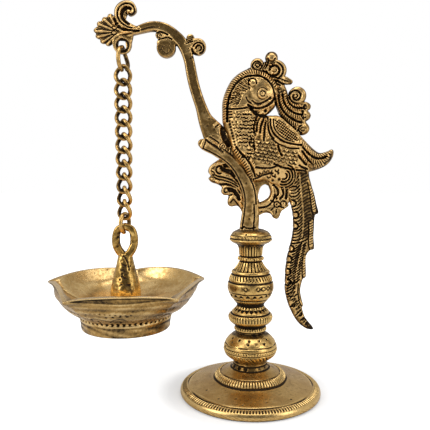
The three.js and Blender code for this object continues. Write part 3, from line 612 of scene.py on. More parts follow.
def brass(name, bright, tan, dark, roughness, patina_at, pits, blotches=0.12, brushed=0.0,
          stretch=(1, 1, 1), grain_size=0.5, mottle=0.17):
    """Old brass: bright where it is rubbed, tan on the flats, brown to nearly black in the recesses. The
    cavity it reads also carries painted shade and painted highlights.

    Patina starts at a cavity of patina_at, mottled by clouds and blotches. Pits say how dark the pores are.
    """
    material = bpy.data.materials.new(name)
    material.use_nodes = True
    g = Graph(material.node_tree)
    place = g.node("ShaderNodeTexCoord").outputs["Object"]
    cavity = g.node("ShaderNodeAttribute", {"attribute_name": "cavity"}).outputs["Fac"]
    # Noise scales are in cells per metre
    cloud = g.noise(place, 55.0, 4.0)
    blotch = g.noise(place, 170.0, 4.0, 0.62)
    speck = g.noise(place, 480.0, 5.0, 0.65)
    grain = g.noise(place, 1500.0, 3.0, 0.6)
    pores = g.node("ShaderNodeTexVoronoi", {"feature": "F1"}, Vector=place, Scale=330.0,
                   Randomness=1.0).outputs["Distance"]
    pore_field = g.spread(g.noise(place, 95.0, 2.0), 0.5, 0.6)
    pore = g.math("MULTIPLY", g.spread(pores, 0.24, 0.12), pore_field)

    depth = g.math("ADD", cavity, g.spread(speck, 0.2, 0.8, -0.16, 0.16))
    depth = g.math("ADD", depth, g.spread(cloud, 0.2, 0.8, -mottle, mottle))
    depth = g.math("ADD", depth, g.spread(blotch, 0.54, 0.72, 0.0, blotches))
    patina = g.spread(depth, patina_at, patina_at + 0.28)
    patina = g.math("MAXIMUM", patina, g.math("MULTIPLY", pore, pits))
    browned = g.spread(depth, patina_at - 0.22, patina_at + 0.1, 0.0, 0.85)
    rubbed = g.spread(depth, 0.0, -0.28)

    middle = [0.5 * (t + b) for t, b in zip(tan, bright)]
    brown = [0.42 * t + 0.3 * d for t, d in zip(tan, dark)]
    tone = g.mix(g.spread(cloud, 0.38, 0.66), (*tan, 1), (*middle, 1))
    tone = g.mix(rubbed, tone, (*bright, 1))
    tone = g.mix(browned, tone, (*brown, 1))
    colour = g.mix(patina, tone, (*dark, 1))

    place_stretched = g.node("ShaderNodeMapping", None, Vector=place, Scale=stretch).outputs[0]
    scratches = g.noise(place_stretched, 900.0, 2.0, 0.5)
    rough = g.math("ADD", g.spread(speck, 0.3, 0.75, roughness - 0.07, roughness + 0.1),
                   g.math("MULTIPLY", patina, 0.28))
    fine_grain = g.math("MULTIPLY", grain, 0.7 * grain_size)
    height = g.math("ADD", fine_grain, g.math("MULTIPLY", speck, grain_size))
    height = g.math("SUBTRACT", height, g.math("MULTIPLY", pore, 1.6 * pits))
    height = g.math("ADD", height, g.math("MULTIPLY", scratches, brushed))
    bump = g.node("ShaderNodeBump", None, Strength=0.35, Distance=0.00022, Height=height)
    metal = g.spread(patina, 0.0, 1.0, 1.0, 0.3)
    shine = g.spread(patina, 0.0, 1.0, 0.5, 0.14)
    shader = g.node("ShaderNodeBsdfPrincipled", None, Base_Color=colour, Metallic=metal, Roughness=rough,
                    Specular_IOR_Level=shine, Normal=bump.outputs[0])
    out = g.node("ShaderNodeOutputMaterial", None, Surface=shader.outputs[0])
    out.target = "ALL"
    return material


CHASED = brass("chased_brass_surface", (0.92, 0.6, 0.24), (0.43, 0.25, 0.078), (0.02, 0.01, 0.003),
               0.32, 0.1, 0.6, blotches=0.18)
TURNED = brass("turned_brass_surface", (0.84, 0.55, 0.19), (0.41, 0.245, 0.075), (0.018, 0.009, 0.003),
               0.3, 0.06, 0.8, blotches=0.34)
POLISHED = brass("polished_brass_surface", (0.8, 0.56, 0.25), (0.5, 0.3, 0.098), (0.032, 0.018, 0.006),
                 0.3, 0.18, 0.4, blotches=0.1, brushed=0.3, stretch=(1, 1, 8), grain_size=0.12)
FOOT = brass("foot_brass_surface", (0.8, 0.54, 0.21), (0.48, 0.28, 0.085), (0.03, 0.017, 0.006),
             0.32, 0.26, 0.25, blotches=0.05, brushed=0.25, grain_size=0.2, mottle=0.06)
CHAIN = brass("chain_brass_surface", (0.78, 0.49, 0.17), (0.4, 0.235, 0.073), (0.022, 0.011, 0.004),
              0.32, 0.12, 0.4, blotches=0.15)
STEM = brass("brazed_brass_surface", (0.88, 0.58, 0.19), (0.53, 0.31, 0.08), (0.026, 0.013, 0.005),
             0.28, 0.14, 0.5, blotches=0.2)
PLAIN = brass("plain_brass_surface", (0.6, 0.43, 0.2), (0.45, 0.3, 0.13), (0.05, 0.03, 0.012),
              0.38, 0.3, 0.3)


# Foot, turned and brushed, with a ribbed rim and a beaded ring

# Angle, radius and size of each dent
FOOT_DENTS = ((-1.9, 33.0, 0.7), (-2.2, 36.5, 0.55), (-1.35, 36.0, 0.5), (-2.6, 34.0, 0.6),
              (-0.9, 38.0, 0.6), (-1.75, 38.6, 0.45), (0.6, 35.0, 0.6), (2.0, 33.0, 0.7))


def foot_profile():
    rim = node_box("foot")[1][0]
    top = node_box("foot")[1][2]
    return smooth_path([
        (rim - 1.6, 0.0), (rim - 0.3, 1.0), (rim, 2.6), (rim - 0.6, 4.3), (rim - 1.9, 5.4),
        (rim - 4.4, 6.25), (rim - 8.5, 7.2), (rim - 13, 8.2), (28, 9.45), (24.8, 10.6), (23.9, 11.6),
        (22.2, 13.4), (20.2, 14.7), (16, 16.4), (12.7, 18.4), (11.4, 20.2), (11.3, top),
    ], steps=8)


def foot_relief(angle, r, z):
    uneven = 0.25 * wobble(angle, 3)
    bell = smoothstep(r, 20.5, 19.5)
    line_strength = np.clip(0.6 + 0.8 * wobble(angle, 31), 0.1, 1.3)
    out = -0.8 * line_strength * np.clip(1.3 * (1 - np.abs(r - 41.9 - uneven) / 0.85), 0, 1)
    ribs = cuts(angle, 148, 0.6, 0.75, uneven=0.35) * between(r, 42.9 + uneven, 45.6, 0.3)
    out = out + ribs * (z > 4)
    out = out + half_round((r - 22.1) / 1.9) * (0.75 + 1.5 * cuts(angle, 78, 0.55, 0.75))
    out = out - 0.5 * np.clip(1.3 * (1 - np.abs(r - 24.4 - uneven) / 0.7), 0, 1)
    out = out - 0.3 * line_strength * np.clip(1.3 * (1 - np.abs(r - 19.8) / 0.5), 0, 1)
    out = out + 0.012 * np.sin(r * 8.5 + wobble(angle, 34)) * between(r, 25.5, 41)
    out = out + 0.12 * wobble(angle, 33) * between(r, 26, 40, 3)
    out = out + bell * (ring_groove(z, 18.2, 0.6, 0.45) + ring_groove(z, 20.6, 0.6, 0.5))
    marked = np.clip(0.2 + 1.4 * wobble(angle, 8), 0, 1.3)
    out = out + bell * marks(angle, r, z, 19.4, 15, 0.95, 0.75, 1.5) * marked
    out = out + bell * marks(angle, r, z, 16.8, 9, 0.8, 0.5, 1.9, 0.3) * np.clip(wobble(angle, 9), 0, 1)
    for dent_angle, dent_r, size in FOOT_DENTS:
        gap = np.hypot((angle - dent_angle - 2 * math.pi * (dent_angle < 0)) * r, r - dent_r) / size
        out = out - 0.35 * np.exp(-gap ** 2)
    return out


top_of_foot = node_box("foot")[1][2]
# Bore, its blind end, and the middle of the underside
rod_hole = [(ROD_BORE, top_of_foot), (ROD_BORE, top_of_foot - ROD_HOLE_DEPTH),
            (0.02, top_of_foot - ROD_HOLE_DEPTH), (0.02, 0.0)]
points, faces, cavity = turned_body(foot_profile(), foot_relief, 888, 0.32, inner=rod_hole)
reach = from_axis(points)
cavity = cavity + 0.2 * smoothstep(points[:, 2], 16.5, 19) * (reach > OUTSIDE_BORE)
edge_pits = np.sin(37 * np.arctan2(points[:, 1], points[:, 0]) + 2.3 * points[:, 2]) ** 8
cavity = cavity + 0.35 * edge_pits * (1 - smoothstep(points[:, 2], 2.4, 3.6)) * (reach > 40)
cavity = cavity + 0.5 * (1 - smoothstep(points[:, 2], 0.5, 1.5)) * (reach > 40)
cavity = cavity + 0.06 + 0.07 * smoothstep(reach, 44.5, 46.5)
add_piece("brushed_foot", points, faces, cavity, FOOT, "stand", ["foot"])


# Knop

def knop_profile():
    return smooth_path([
        (11.3, 0), (11.6, 1.2), (13.8, 2.8), (16.6, 5.2), (17.8, 7.9), (17.9, 9.2), (17.3, 12.2),
        (15.6, 15.2), (12.8, 18.0), (11.0, 19.0), (10.0, 19.8),
    ], steps=8)


def knop_relief(angle, r, z):
    uneven = 0.5 + 0.7 * wobble(angle, 12)
    out = marks(angle, r, z, 15.2, 17, 0.85, 0.8, 1.5, 0.2, -0.3) * np.clip(0.2 + wobble(angle, 16), 0, 1)
    out = out + marks(angle, r, z, 17.2, 13, 0.7, 0.6, 1.3) * np.clip(uneven, 0, 0.8)
    line = np.clip(0.7 + wobble(angle, 6), 0.15, 1)
    out = out + ring_groove(z, 12.8 + 0.3 * wobble(angle, 5), 0.65, 0.75) * line
    out = out + cuts(angle, 62, 0.5, 0.55) * between(z, 8.3, 9.6, 0.25)
    out = out + ring_groove(z, 10.2, 0.55, 0.5) + ring_groove(z, 7.6, 0.6, 0.6)
    slanted = cuts(angle + 0.05 * (z - 5), 38, 0.5, 0.7) * between(z, 3.2, 6.6, 0.5)
    out = out + slanted * np.clip(0.6 + 0.8 * wobble(angle, 14), 0, 1)
    out = out + marks(angle, r, z, 11.4, 13, 0.7, 0.5, 1.8, 0.4) * np.clip(wobble(angle, 15), 0, 1)
    out = out + ring_groove(z, 2.2, 0.6, 0.6)
    return out


points, faces, cavity = turned_body(knop_profile(), knop_relief, 372, 0.3)
cavity = cavity + 0.2 * (1 - smoothstep(points[:, 2], 1.5, 6.5))
# Taking 0.26 off lightens the whole knop: painted light against the dark reflection it shows.
cavity = cavity + 0.3 * smoothstep(points[:, 2], 17.0, 19.0) - 0.26
points[:, 2] += KNOP_BOTTOM
add_piece("chased_knop", points, faces, cavity, TURNED, "stand", ["lower_knop"])


# Ribbed disc with the small ring below it

def disc_profile():
    return smooth_path([
        (9.8, 0), (10.2, 0.8), (10.8, 2.0), (10.6, 3.6), (9.6, 4.8), (10.4, 5.6), (12.3, 6.4),
        (14.1, 8.2), (14.75, 10.2), (14.5, 11.8), (13.2, 13.5), (10.9, 15.7), (9.1, 17.4), (8.9, 18.2),
    ], steps=8)


def disc_relief(angle, r, z):
    out = cuts(angle, 46, 0.5, 1.0, uneven=0.2) * between(z, 8.8, 12.3, 0.4)
    out = out + ring_groove(z, 13.5, 0.8, 0.95)
    triangles = np.abs(turns_of(angle, 22) % 1.0 - 0.5) * 2 * math.pi * r / 22
    notch = smoothstep(16.9 - z, 0.1, 0.5) * smoothstep(z - 14.7 - 0.9 * triangles, 0.0, 0.5)
    out = out - 1.0 * notch * smoothstep(1.4 - triangles, 0, 0.5)
    out = out + bead_row(angle, r, z, 17.6, 26, 0.8, 0.35)
    out = out + cuts(angle, 40, 0.5, 0.7) * between(z, 2.8, 4.2, 0.3)
    out = out + ring_groove(z, 1.4, 0.7, 0.5)
    return out


points, faces, cavity = turned_body(disc_profile(), disc_relief, 368, 0.28)
outside = from_axis(points) > OUTSIDE_BORE
# The recess under the disc is darkened: patina, together with painted shade under the disc's overhang.
recess = between(points[:, 2], 4.7, 7.2, 0.5) * outside
foot_of_ring = (1 - smoothstep(points[:, 2], 0.4, 1.6)) * outside
cavity = cavity + 0.9 * recess + 0.6 * foot_of_ring
points[:, 2] += DISC_BOTTOM
add_piece("ribbed_ring", points, faces, cavity, TURNED, "stand", ["ribbed_disc"])


# Vase with its fluted neck and collar

def vase_profile():
    return smooth_path([
        (8.8, 0), (9.4, 1.4), (11.0, 3.4), (12.9, 5.6), (14.2, 8.0), (15.1, 10.4), (15.4, 12.4),
        (15.1, 15.6), (14.0, 19.2), (12.0, 23.2), (9.5, 26.4), (8.2, 28.6), (7.8, 30.0), (8.7, 30.9),
        (8.7, 32.2), (7.9, 33.2), (7.9, 36.0), (8.3, 39.0), (9.6, 41.0), (12.2, 42.2), (13.7, 43.6),
        (14.0, 45.0), (13.2, 47.2), (11.6, 49.2), (9.4, 50.3), (8.6, 50.7),
    ], steps=8)


def vase_relief(angle, r, z):
    ends = 0.5 * wobble(angle, 41)
    out = cuts(angle + 0.01 * wobble(angle, 20), 26, 0.5, 1.0) * between(z, 33.9, 39.9 + ends, 0.4)
    short_cuts = cuts(angle, 30, 0.5, 0.6) * between(z, 30.5, 32.6, 0.2)
    out = out + short_cuts * np.clip(0.8 + wobble(angle, 42), 0.3, 1.2)
    out = out + cuts(angle + 0.012 * wobble(angle, 21), 26, 0.5, 1.05) * between(z, 24.2 - ends, 29.5, 0.4)
    out = out + ring_groove(z, 30.0, 0.65, 1.0) + ring_groove(z, 33.35, 0.65, 1.0)
    out = out + ring_ridge(z, 22.9, 0.8, 0.5) + ring_groove(z, 21.5, 0.8, 0.9)
    out = out + cuts(angle + 0.02 * (z - 19), 40, 0.52, 0.95) * between(z, 18.3, 20.8, 0.35)
    out = out - 0.3 * between(z, 15.8, 17.4, 0.4)
    line = np.clip(0.35 + 1.2 * wobble(angle, 2), 0, 1.1)
    out = out + ring_groove(z, 16.4 + 0.3 * wobble(angle, 9), 0.7, 0.8) * line
    worn = np.clip(0.3 + 0.9 * wobble(angle, 46), 0, 1)
    for shift, squeeze in ((0.0, 1.0), (0.5, 1.6)):
        mark = marks(angle, r, z, 13.4, 12, 1.6, 0.4, squeeze, shift)
        core = marks(angle, r, z, 13.4, 12, 0.95, 0.4, squeeze, shift)
        out = out + (mark - core) * worn
    low_ring = ring_groove(z, 9.5 + 0.25 * wobble(angle, 10), 0.6, 0.8)
    out = out + low_ring * np.clip(0.8 + wobble(angle, 43), 0, 1)
    out = out + marks(angle, r, z, 8.0, 20, 0.85, 0.85, 1.5, 0.1, 0.35)
    out = out + ring_groove(z, 4.7, 0.7, 0.8)
    out = out + ring_groove(z, 47.3, 0.4, 0.25) + cuts(angle, 88, 0.55, 0.4) * between(z, 45.6, 46.9, 0.25)
    out = out + ring_groove(z, 45.1, 0.6, 0.6) + ring_ridge(z, 44.1, 0.5, 0.25)
    out = out + marks(angle, r, z, 48.4, 9, 0.55, 0.4, 1.0, 0.2) * np.clip(0.4 + wobble(angle, 44), 0, 1)
    return out


points, faces, cavity = turned_body(vase_profile(), vase_relief, 528, 0.3)
under = 0.45 * (1 - smoothstep(points[:, 2], 0.8, 3.2)) * (from_axis(points) > OUTSIDE_BORE)
points[:, 2] += VASE_BOTTOM
add_piece("fluted_vase", points, faces, cavity + under + 0.13, TURNED, "stand", ["vase"])


# Castings above the pillar. Places are millimetres in the lamp's own plane.

def beside(rows, shift):
    """Path beside a bar's middle line, at a share of its half width. Positive is left of its run."""
    path = smooth_path([row[:3] for row in rows])
    along = np.gradient(path[:, :2], axis=0)
    along /= np.maximum(np.hypot(*along.T), 1e-9)[:, None]
    across = np.stack([-along[:, 1], along[:, 0]], 1)
    return path[:, :2] + across * (shift * path[:, 2])[:, None]


STRAP = [
    (-1.25, 108, 6.2), (-1.2, 112, 6.1), (-0.5, 119, 5.7), (-0.4, 127, 4.8), (-0.8, 133, 4.7),
    (-2.3, 139, 4.6), (-4.9, 144.5, 4.3), (-8.2, 150, 4), (-12.4, 155, 3.8, 0.95),
    (-17.6, 159.2, 3.7, 0.85), (-23.6, 162.7, 3.6, 0.8), (-29.6, 165.6, 3.6, 0.8), (-31.9, 166.8, 2.9, 0.75),
]
ARM = [
    (-19, 164, 7.2, 0.8), (-22.5, 170.5, 8), (-26.5, 176.5, 6.4), (-30, 182.5, 4.7),
    (-32.6, 190, 3.7), (-35.4, 198, 3.5), (-37.4, 205, 3.5), (-38.9, 212, 3.5),
    (-40.2, 219, 3.4), (-42.4, 226, 3.5), (-45.8, 232, 3.5), (-50.2, 236.4, 3.3),
    (-55, 239.7, 3.1), (-60, 241.1, 3.1), (-65, 241.1, 3), (-70, 239.9, 2.7),
    (-75, 238.2, 2.1), (-80, 236.9, 1.7), (-85, 236.3, 1.5, 0.8), (-89, 237.2, 1.2, 0.7),
]
VOLUTE = [
    (-72.3, 240.3, 0.6, 0.7), (-76, 240.7, 1.3), (-80, 242.2, 2), (-83.3, 244.7, 2.6),
    (-85.1, 248.2, 2.9), (-84.5, 252, 2.9), (-81.6, 254.6, 2.6), (-77.8, 254.2, 2.7),
    (-76.1, 251.6, 2.3), (-77.3, 249.7, 1.9), (-79.0, 250.6, 1.5),
]
LEAF_TIPS = [
    (-91, 248.2), (-95, 246), (-98.5, 243), (-100.7, 238.7), (-99.5, 235), (-96.5, 231.7), (-93, 230.2),
]


def arm_casting():
    c = Canvas((-103, 106), (7, 259), 0.33)
    c.add_stroke(STRAP, 10, edge=1.3)
    c.add_stroke(ARM, 6.4, edge=1.7)
    c.add_stroke(VOLUTE, 5.6, edge=1.4)
    c.add_shape([(-84, 245), (-81.5, 244.6), (-80.4, 247), (-79.4, 250), (-80, 253), (-83, 253)], 2.2,
                edge=0.8)
    c.add_shape([(-73, 239.4), (-76, 239.7), (-80, 241.6), (-83.4, 244.4), (-87.6, 244.6), (-89, 240),
                 (-85, 237), (-78, 237)], 3.4, edge=0.8)
    root = np.array([-86.0, 238.2])
    tips = np.array(LEAF_TIPS)
    c.add_shape([(-82, 246), (-86, 246.6), *(root + 0.96 * (tips - root)), (-89, 231), (-84, 233.5),
                 (-80, 238)], 4.1, edge=1.1)
    for tip in tips:
        near, far = root + 0.45 * (tip - root), root + 0.84 * (tip - root)
        c.add_stroke([(*root, 1.0, 0.8), (*near, 2.1, 0.95), (*far, 2.2), (*tip, 0.9, 0.8)], 4.8, edge=1.6)
    # Eye: a ring that is thinner towards its bottom, where the top ring hangs
    eye_ring = arc_path(CHAIN_X, EYE_Z, EYE_REACH, 0, 360)
    c.add_stroke([(x, z, 1.4, 1 - 0.4 * max(EYE_Z - z, 0) / EYE_REACH) for x, z in eye_ring], 5.2, edge=1.3,
                 steps=2)
    for side, middle in ((-1, 1.4), (1, 1.7)):
        c.add_stroke([(CHAIN_X + side * 3.6, EYE_Z - 2.6, 0.9), (CHAIN_X + side * 3.9, EYE_Z + 0.4, middle),
                      (CHAIN_X + side * 3.2, EYE_Z + 3, 1.2)], 4.4, edge=1.0)
    c.add_stroke([(-78.6, 236, 2.6), (-78.2, 233, 1.6), (-78.6, 230, 1.1)], 4, edge=1.0)
    c.add_stroke([(CHAIN_X - 2.4, EYE_Z + 3.4, 0.9), (CHAIN_X + 2.6, EYE_Z + 3.3, 1.0)], 4.4, edge=0.9)
    c.add_stroke([(-88.5, 234, 1.4), (-84, 236.2, 1.4), (-79, 235.5, 1.4)], 4, edge=1.0)
    c.add_disc(-55, 227.6, 6.1, 6.2, edge=1.2)
    c.add_shape([(-60.4, 229.6), (-60.2, 233.2), (-60.6, 236.6), (-54, 238.4), (-47.4, 235.4), (-46.4, 232),
                 (-48.4, 229.4), (-51, 228.6)], 5.4, edge=1.2)
    c.add_disc(-59.4, 235.9, 2.5, 5.6, edge=1.4)
    c.add_disc(-39.4, 233.6, 2.6, 6.2, edge=1.5)
    c.add_disc(-34.7, 228.3, 5.3, 6.6, edge=1.6)
    c.add_stroke([(-42, 226, 3.2), (-39.5, 229.5, 3.4), (-35.5, 230.5, 2.8)], 6.2, edge=1.4)
    c.add_disc(-18.3, 164.8, 3.2, 9.2, edge=1.4)
    c.add_disc(-12.3, 161.6, 2.6, 9.6, edge=1.4)
    c.uneven(1, (2.4, 0.07), (0.8, 0.03))

    # Strap: a flat panel between raised borders
    c.depth = 5.0
    c.groove(beside(STRAP[:-1], 0.72), 0.7, 0.45)
    c.ridge(beside(STRAP[:-1], 0.95), 0.8, 0.35)
    c.groove(beside(STRAP[:4], -0.5), 0.75, 0.6)
    c.groove(beside(STRAP[3:-1], -0.78), 0.75, 0.55)
    c.groove([(-7, 111.4), (-5.4, 111.0), (-4.6, 112.2), (-3, 111.2), (-0.5, 110.9), (3, 111.6)], 0.7, 0.7)
    c.groove([(-31.5, 163.6), (-30.4, 166.4), (-29.6, 169.6)], 0.7, 0.5)
    c.ridge([(-32.8, 165), (-31.8, 167.4), (-31, 169.4)], 0.8, 0.35)
    for x, z in ((-4.6, 129), (-5.4, 124), (1.6, 115), (1.2, 121), (-7.5, 153), (-3.2, 141), (-1, 117.5)):
        c.pit(x, z, 0.6, 0.4)

    # Arm: a bevel along its left edge, and lines at its foot
    c.depth = 3.2
    c.ridge(beside(ARM[3:12], 0.72), 0.8, 0.18)
    c.ridge(beside(ARM[11:19], 0.6), 0.8, 0.2)
    c.groove(beside(ARM[13:19], 0.05), 0.6, 0.3)
    c.chase(
        (0.8, -0.9, (-29, 168.6), (-26, 166.4), (-22, 163.8), (-18.5, 161.2)),
        (0.8, 0.5, (-28.4, 170), (-25.4, 168), (-22, 165.6), (-20.4, 163.6)),
        (0.6, -0.6, (-27, 171.2), (-23.5, 169), (-21, 167)),
        (2.4, -1.3, (-16.5, 181), (-18.2, 177), (-18, 172), (-15, 166)),
        (0.6, -0.6, (-23.4, 177.5), (-20.6, 179.3), (-17.4, 180)),
        (0.7, 0.4, (-24.4, 178.8), (-21.4, 180.8), (-18, 181.6)),
    )
    for x, z in ((-25, 172), (-22.6, 174), (-27.5, 183), (-28.6, 178.5), (-24.2, 176.2), (-30.6, 187),
                 (-33.8, 196)):
        c.pit(x, z, 0.7, 0.35)
    for radius in (0.9, 2.3):
        c.arcs((0.55, -0.6, -18.3, 164.8, radius, -60, 230))
    for x in (-13.6, -12.1, -10.8):
        c.groove([(x, 163.6), (x + 0.3, 159.8)], 0.5, 0.6)

    # Volute: two ridges outside, a deep hollow inside, a rounded tip
    c.ridge(beside(VOLUTE, 0.78), 1.0, 0.6)
    c.groove(beside(VOLUTE, 0.38), 0.6, 1.0)
    c.ridge(beside(VOLUTE[1:], 0.02), 0.8, 0.5)
    c.groove(beside(VOLUTE[2:8], -0.55), 1.1, 1.7)
    c.arcs((0.6, -0.8, -78.3, 251.1, 2.6, 200, 20, 24, 0.8))
    c.dome(-78.9, 250.8, 1.5, 0.7)
    c.chase(
        (0.85, -1.6, (-72.6, 238.9), (-76, 238.8), (-80, 239.2), (-84, 240.2)),
        (0.6, 0.6, (-75, 239.9), (-79.5, 240.6), (-83.4, 242)),
        (0.9, -1.4, (-84.5, 240.6), (-87, 243), (-88.4, 246.5)),
    )

    # Palmette lobes: each has a middle rib between two grooves, and a dark gap beside it
    for i, tip in enumerate(tips):
        away = tip - root
        across = np.array([-away[1], away[0]]) / np.hypot(*away)
        start, end = root + 0.3 * away, root + 0.97 * away
        c.ridge([start, end], 0.7, 0.4)
        for side in (-1, 1):
            c.groove([start + 0.6 * side * across, end + 1.0 * side * across], 0.45, 0.2)
        if i:
            gap = (tips[i - 1] + tip) / 2 - root
            c.groove([root + 0.6 * gap, root + 1.0 * gap], 0.45, 0.35)
    for x, z, radius in ((-86.6, 242.4, 1.1), (-88.6, 240.6, 1.0), (-88.9, 237.6, 1.1), (-86.4, 239.8, 0.8)):
        c.dome(x, z, radius, 0.7)
        c.arcs((0.45, -0.8, x, z, radius + 0.2, 60, 300, 10))

    # Eye: a raised band round the hole's sunk face
    band = [(-73, 240.4), (-77.5, 238.2), (-82, 237.2), (-86.4, 236.2), (-89.0, 233.6), (-89.6, 229.8),
            (-88.3, 226.6), (-85.4, 224.8), (-81.6, 224.9), (-79.0, 227)]
    c.chase((0.9, 0.6, *band))
    c.arcs(
        (1.1, -1.2, CHAIN_X, EYE_Z, 3.6, 100, 300, 30), (0.9, -0.6, CHAIN_X, EYE_Z, 3.7, -60, 100, 30),
    )
    c.chase((0.6, -0.6, (-77.6, 228), (-76.6, 231), (-77, 234)))

    # Boss, knob and curl
    for x, z, angle in ((-56, 229, 20), (-54, 226, 80), (-57, 226, 140), (-53.5, 229.5, 60),
                        (-55, 224.5, 10), (-58, 228, 70), (-52.4, 227, 120)):
        reach = np.array([math.cos(math.radians(angle)), math.sin(math.radians(angle))]) * 1.6
        c.groove([np.array([x, z]) - reach, np.array([x, z]) + reach], 0.4, 0.2)
    c.chase((0.7, -1.0, (-62, 237.2), (-59.5, 238), (-56.5, 237.4), (-54, 236.2)))
    c.arcs((0.5, -0.7, -59.5, 235.7, 1.3, 0, 300))
    for x in (-57.2, -55.4, -53.6):
        c.dome(x, 235.8 - 0.15 * (x + 55), 0.9, 0.6)
    c.chase((0.6, -0.9, (-60.2, 233.2), (-57.5, 233.9), (-54, 234.4), (-51.5, 233.4)))
    for shift in (-1.1, 0.0, 1.1):
        c.groove([(-41.6 + 0.3 * shift, 233.4 + 1.1 * shift), (-37.8 + 0.3 * shift, 234.4 + 1.1 * shift)],
                 0.5, 1.0)
    c.chase((0.7, -1.1, (-41.8, 230.8), (-40, 231.6), (-38, 232)))
    for radius, start in ((3.7, 160), (1.9, 185)):
        c.arcs((0.72, -1.3, -34.1, 227.7, radius, start, -75, 30, radius * 0.82))
    c.arcs((0.7, 0.4, -34.2, 227.8, 2.8, 210, -60, 30, 2.3))
    c.chase((0.9, -1.3, (-38.6, 227.2), (-37.6, 225), (-35.4, 223.4)))
    for x, z in ((-39.6, 224.4), (-38.3, 222.3), (-39.4, 221.3), (-40.6, 227.5)):
        c.pit(x, z, 0.6, 0.6)
    return c


def leaf_casting():
    c = Canvas((-30, 118), (3, 158), 0.3)
    c.add_shape([
        (-5, 120.5), (-7, 124), (-9.3, 126.1), (-13, 125.6), (-15.3, 127), (-15.5, 130), (-15, 132.8),
        (-18, 133.2), (-19.7, 135.4), (-19.2, 138), (-20.6, 139.5), (-23, 140.6), (-26, 141.6),
        (-28, 144), (-26.7, 145.9), (-28.2, 148.4), (-27.2, 151.8), (-24, 154.6), (-18.8, 157.2),
        (-11, 155), (-6, 148), (-3, 141), (-1, 133), (-1, 121),
    ], 5.5, edge=1.7)
    # Upper scroll
    c.depth = 2.7
    c.chase(
        (1.1, 0.7, (-26.8, 146.6), (-27, 150), (-25, 152.6), (-21.5, 153.6), (-18.6, 152.4)),
        (1.9, -1.9, (-12.4, 152.8), (-16, 152.6), (-18.8, 151.4), (-17.4, 149.4), (-14, 148.4),
         (-11, 146.2)),
    )
    c.arcs(
        (0.7, -1.0, -20.6, 149.6, 2.6, 60, 290, 24, 2.2), (0.5, -0.5, -20.2, 149.6, 0.9, 0, 360, 20),
    )
    for shift in (0.0, 1.9):
        c.chase(
            (0.8, 0.55, (-25.4, 149.6 - shift), (-23.6, 146.9 - shift), (-18, 145.6 - shift),
             (-12.6, 143.9 - shift), (-8.4, 140.6 - 0.6 * shift)),
            (0.7, -0.9, (-25, 148.5 - shift), (-22.8, 145.9 - shift), (-17.8, 144.7 - shift),
             (-12.6, 142.9 - shift), (-8.6, 139.8 - 0.6 * shift)),
        )
    c.rope([(-22.5, 142.2), (-18, 142.4), (-14, 141.2), (-11, 139.8)], 1.1, 0.7, 1.4, 0.6)
    c.beads([(-26.4, 143.8), (-23, 142.6)], 1.5, 0.8, 0.5)
    c.chase((0.9, -1.1, (-20.4, 139.9), (-16, 140.3), (-11.6, 138.6), (-8, 135.6), (-6.2, 131.4)))
    # Middle scroll
    c.chase(
        (0.9, 0.5, (-18.8, 135), (-17.6, 138), (-14, 139), (-10.4, 137.4), (-7.6, 134), (-6.2, 130)),
        (1.8, -1.8, (-14.2, 136.6), (-11.6, 136.2), (-9.2, 133.6), (-8, 130.6)),
    )
    c.arcs((0.6, -0.8, -16.4, 136.2, 1.7, 30, 300, 20, 1.2))
    # Lower leaf
    c.chase(
        (1.0, 0.6, (-14.4, 129.4), (-12.6, 132), (-10.4, 132.4), (-8.4, 129.4), (-6.2, 125.6)),
        (0.6, -0.7, (-15.2, 132.4), (-12.6, 133.6), (-10.4, 134.2)),
        (0.6, -0.5, (-13.4, 128.4), (-11.4, 130.2), (-9.4, 127.8), (-7.2, 124.6)),
        (0.8, -0.8, (-4.6, 129), (-5.2, 133), (-6.6, 138), (-9.6, 142.6), (-13, 147)),
    )
    return c


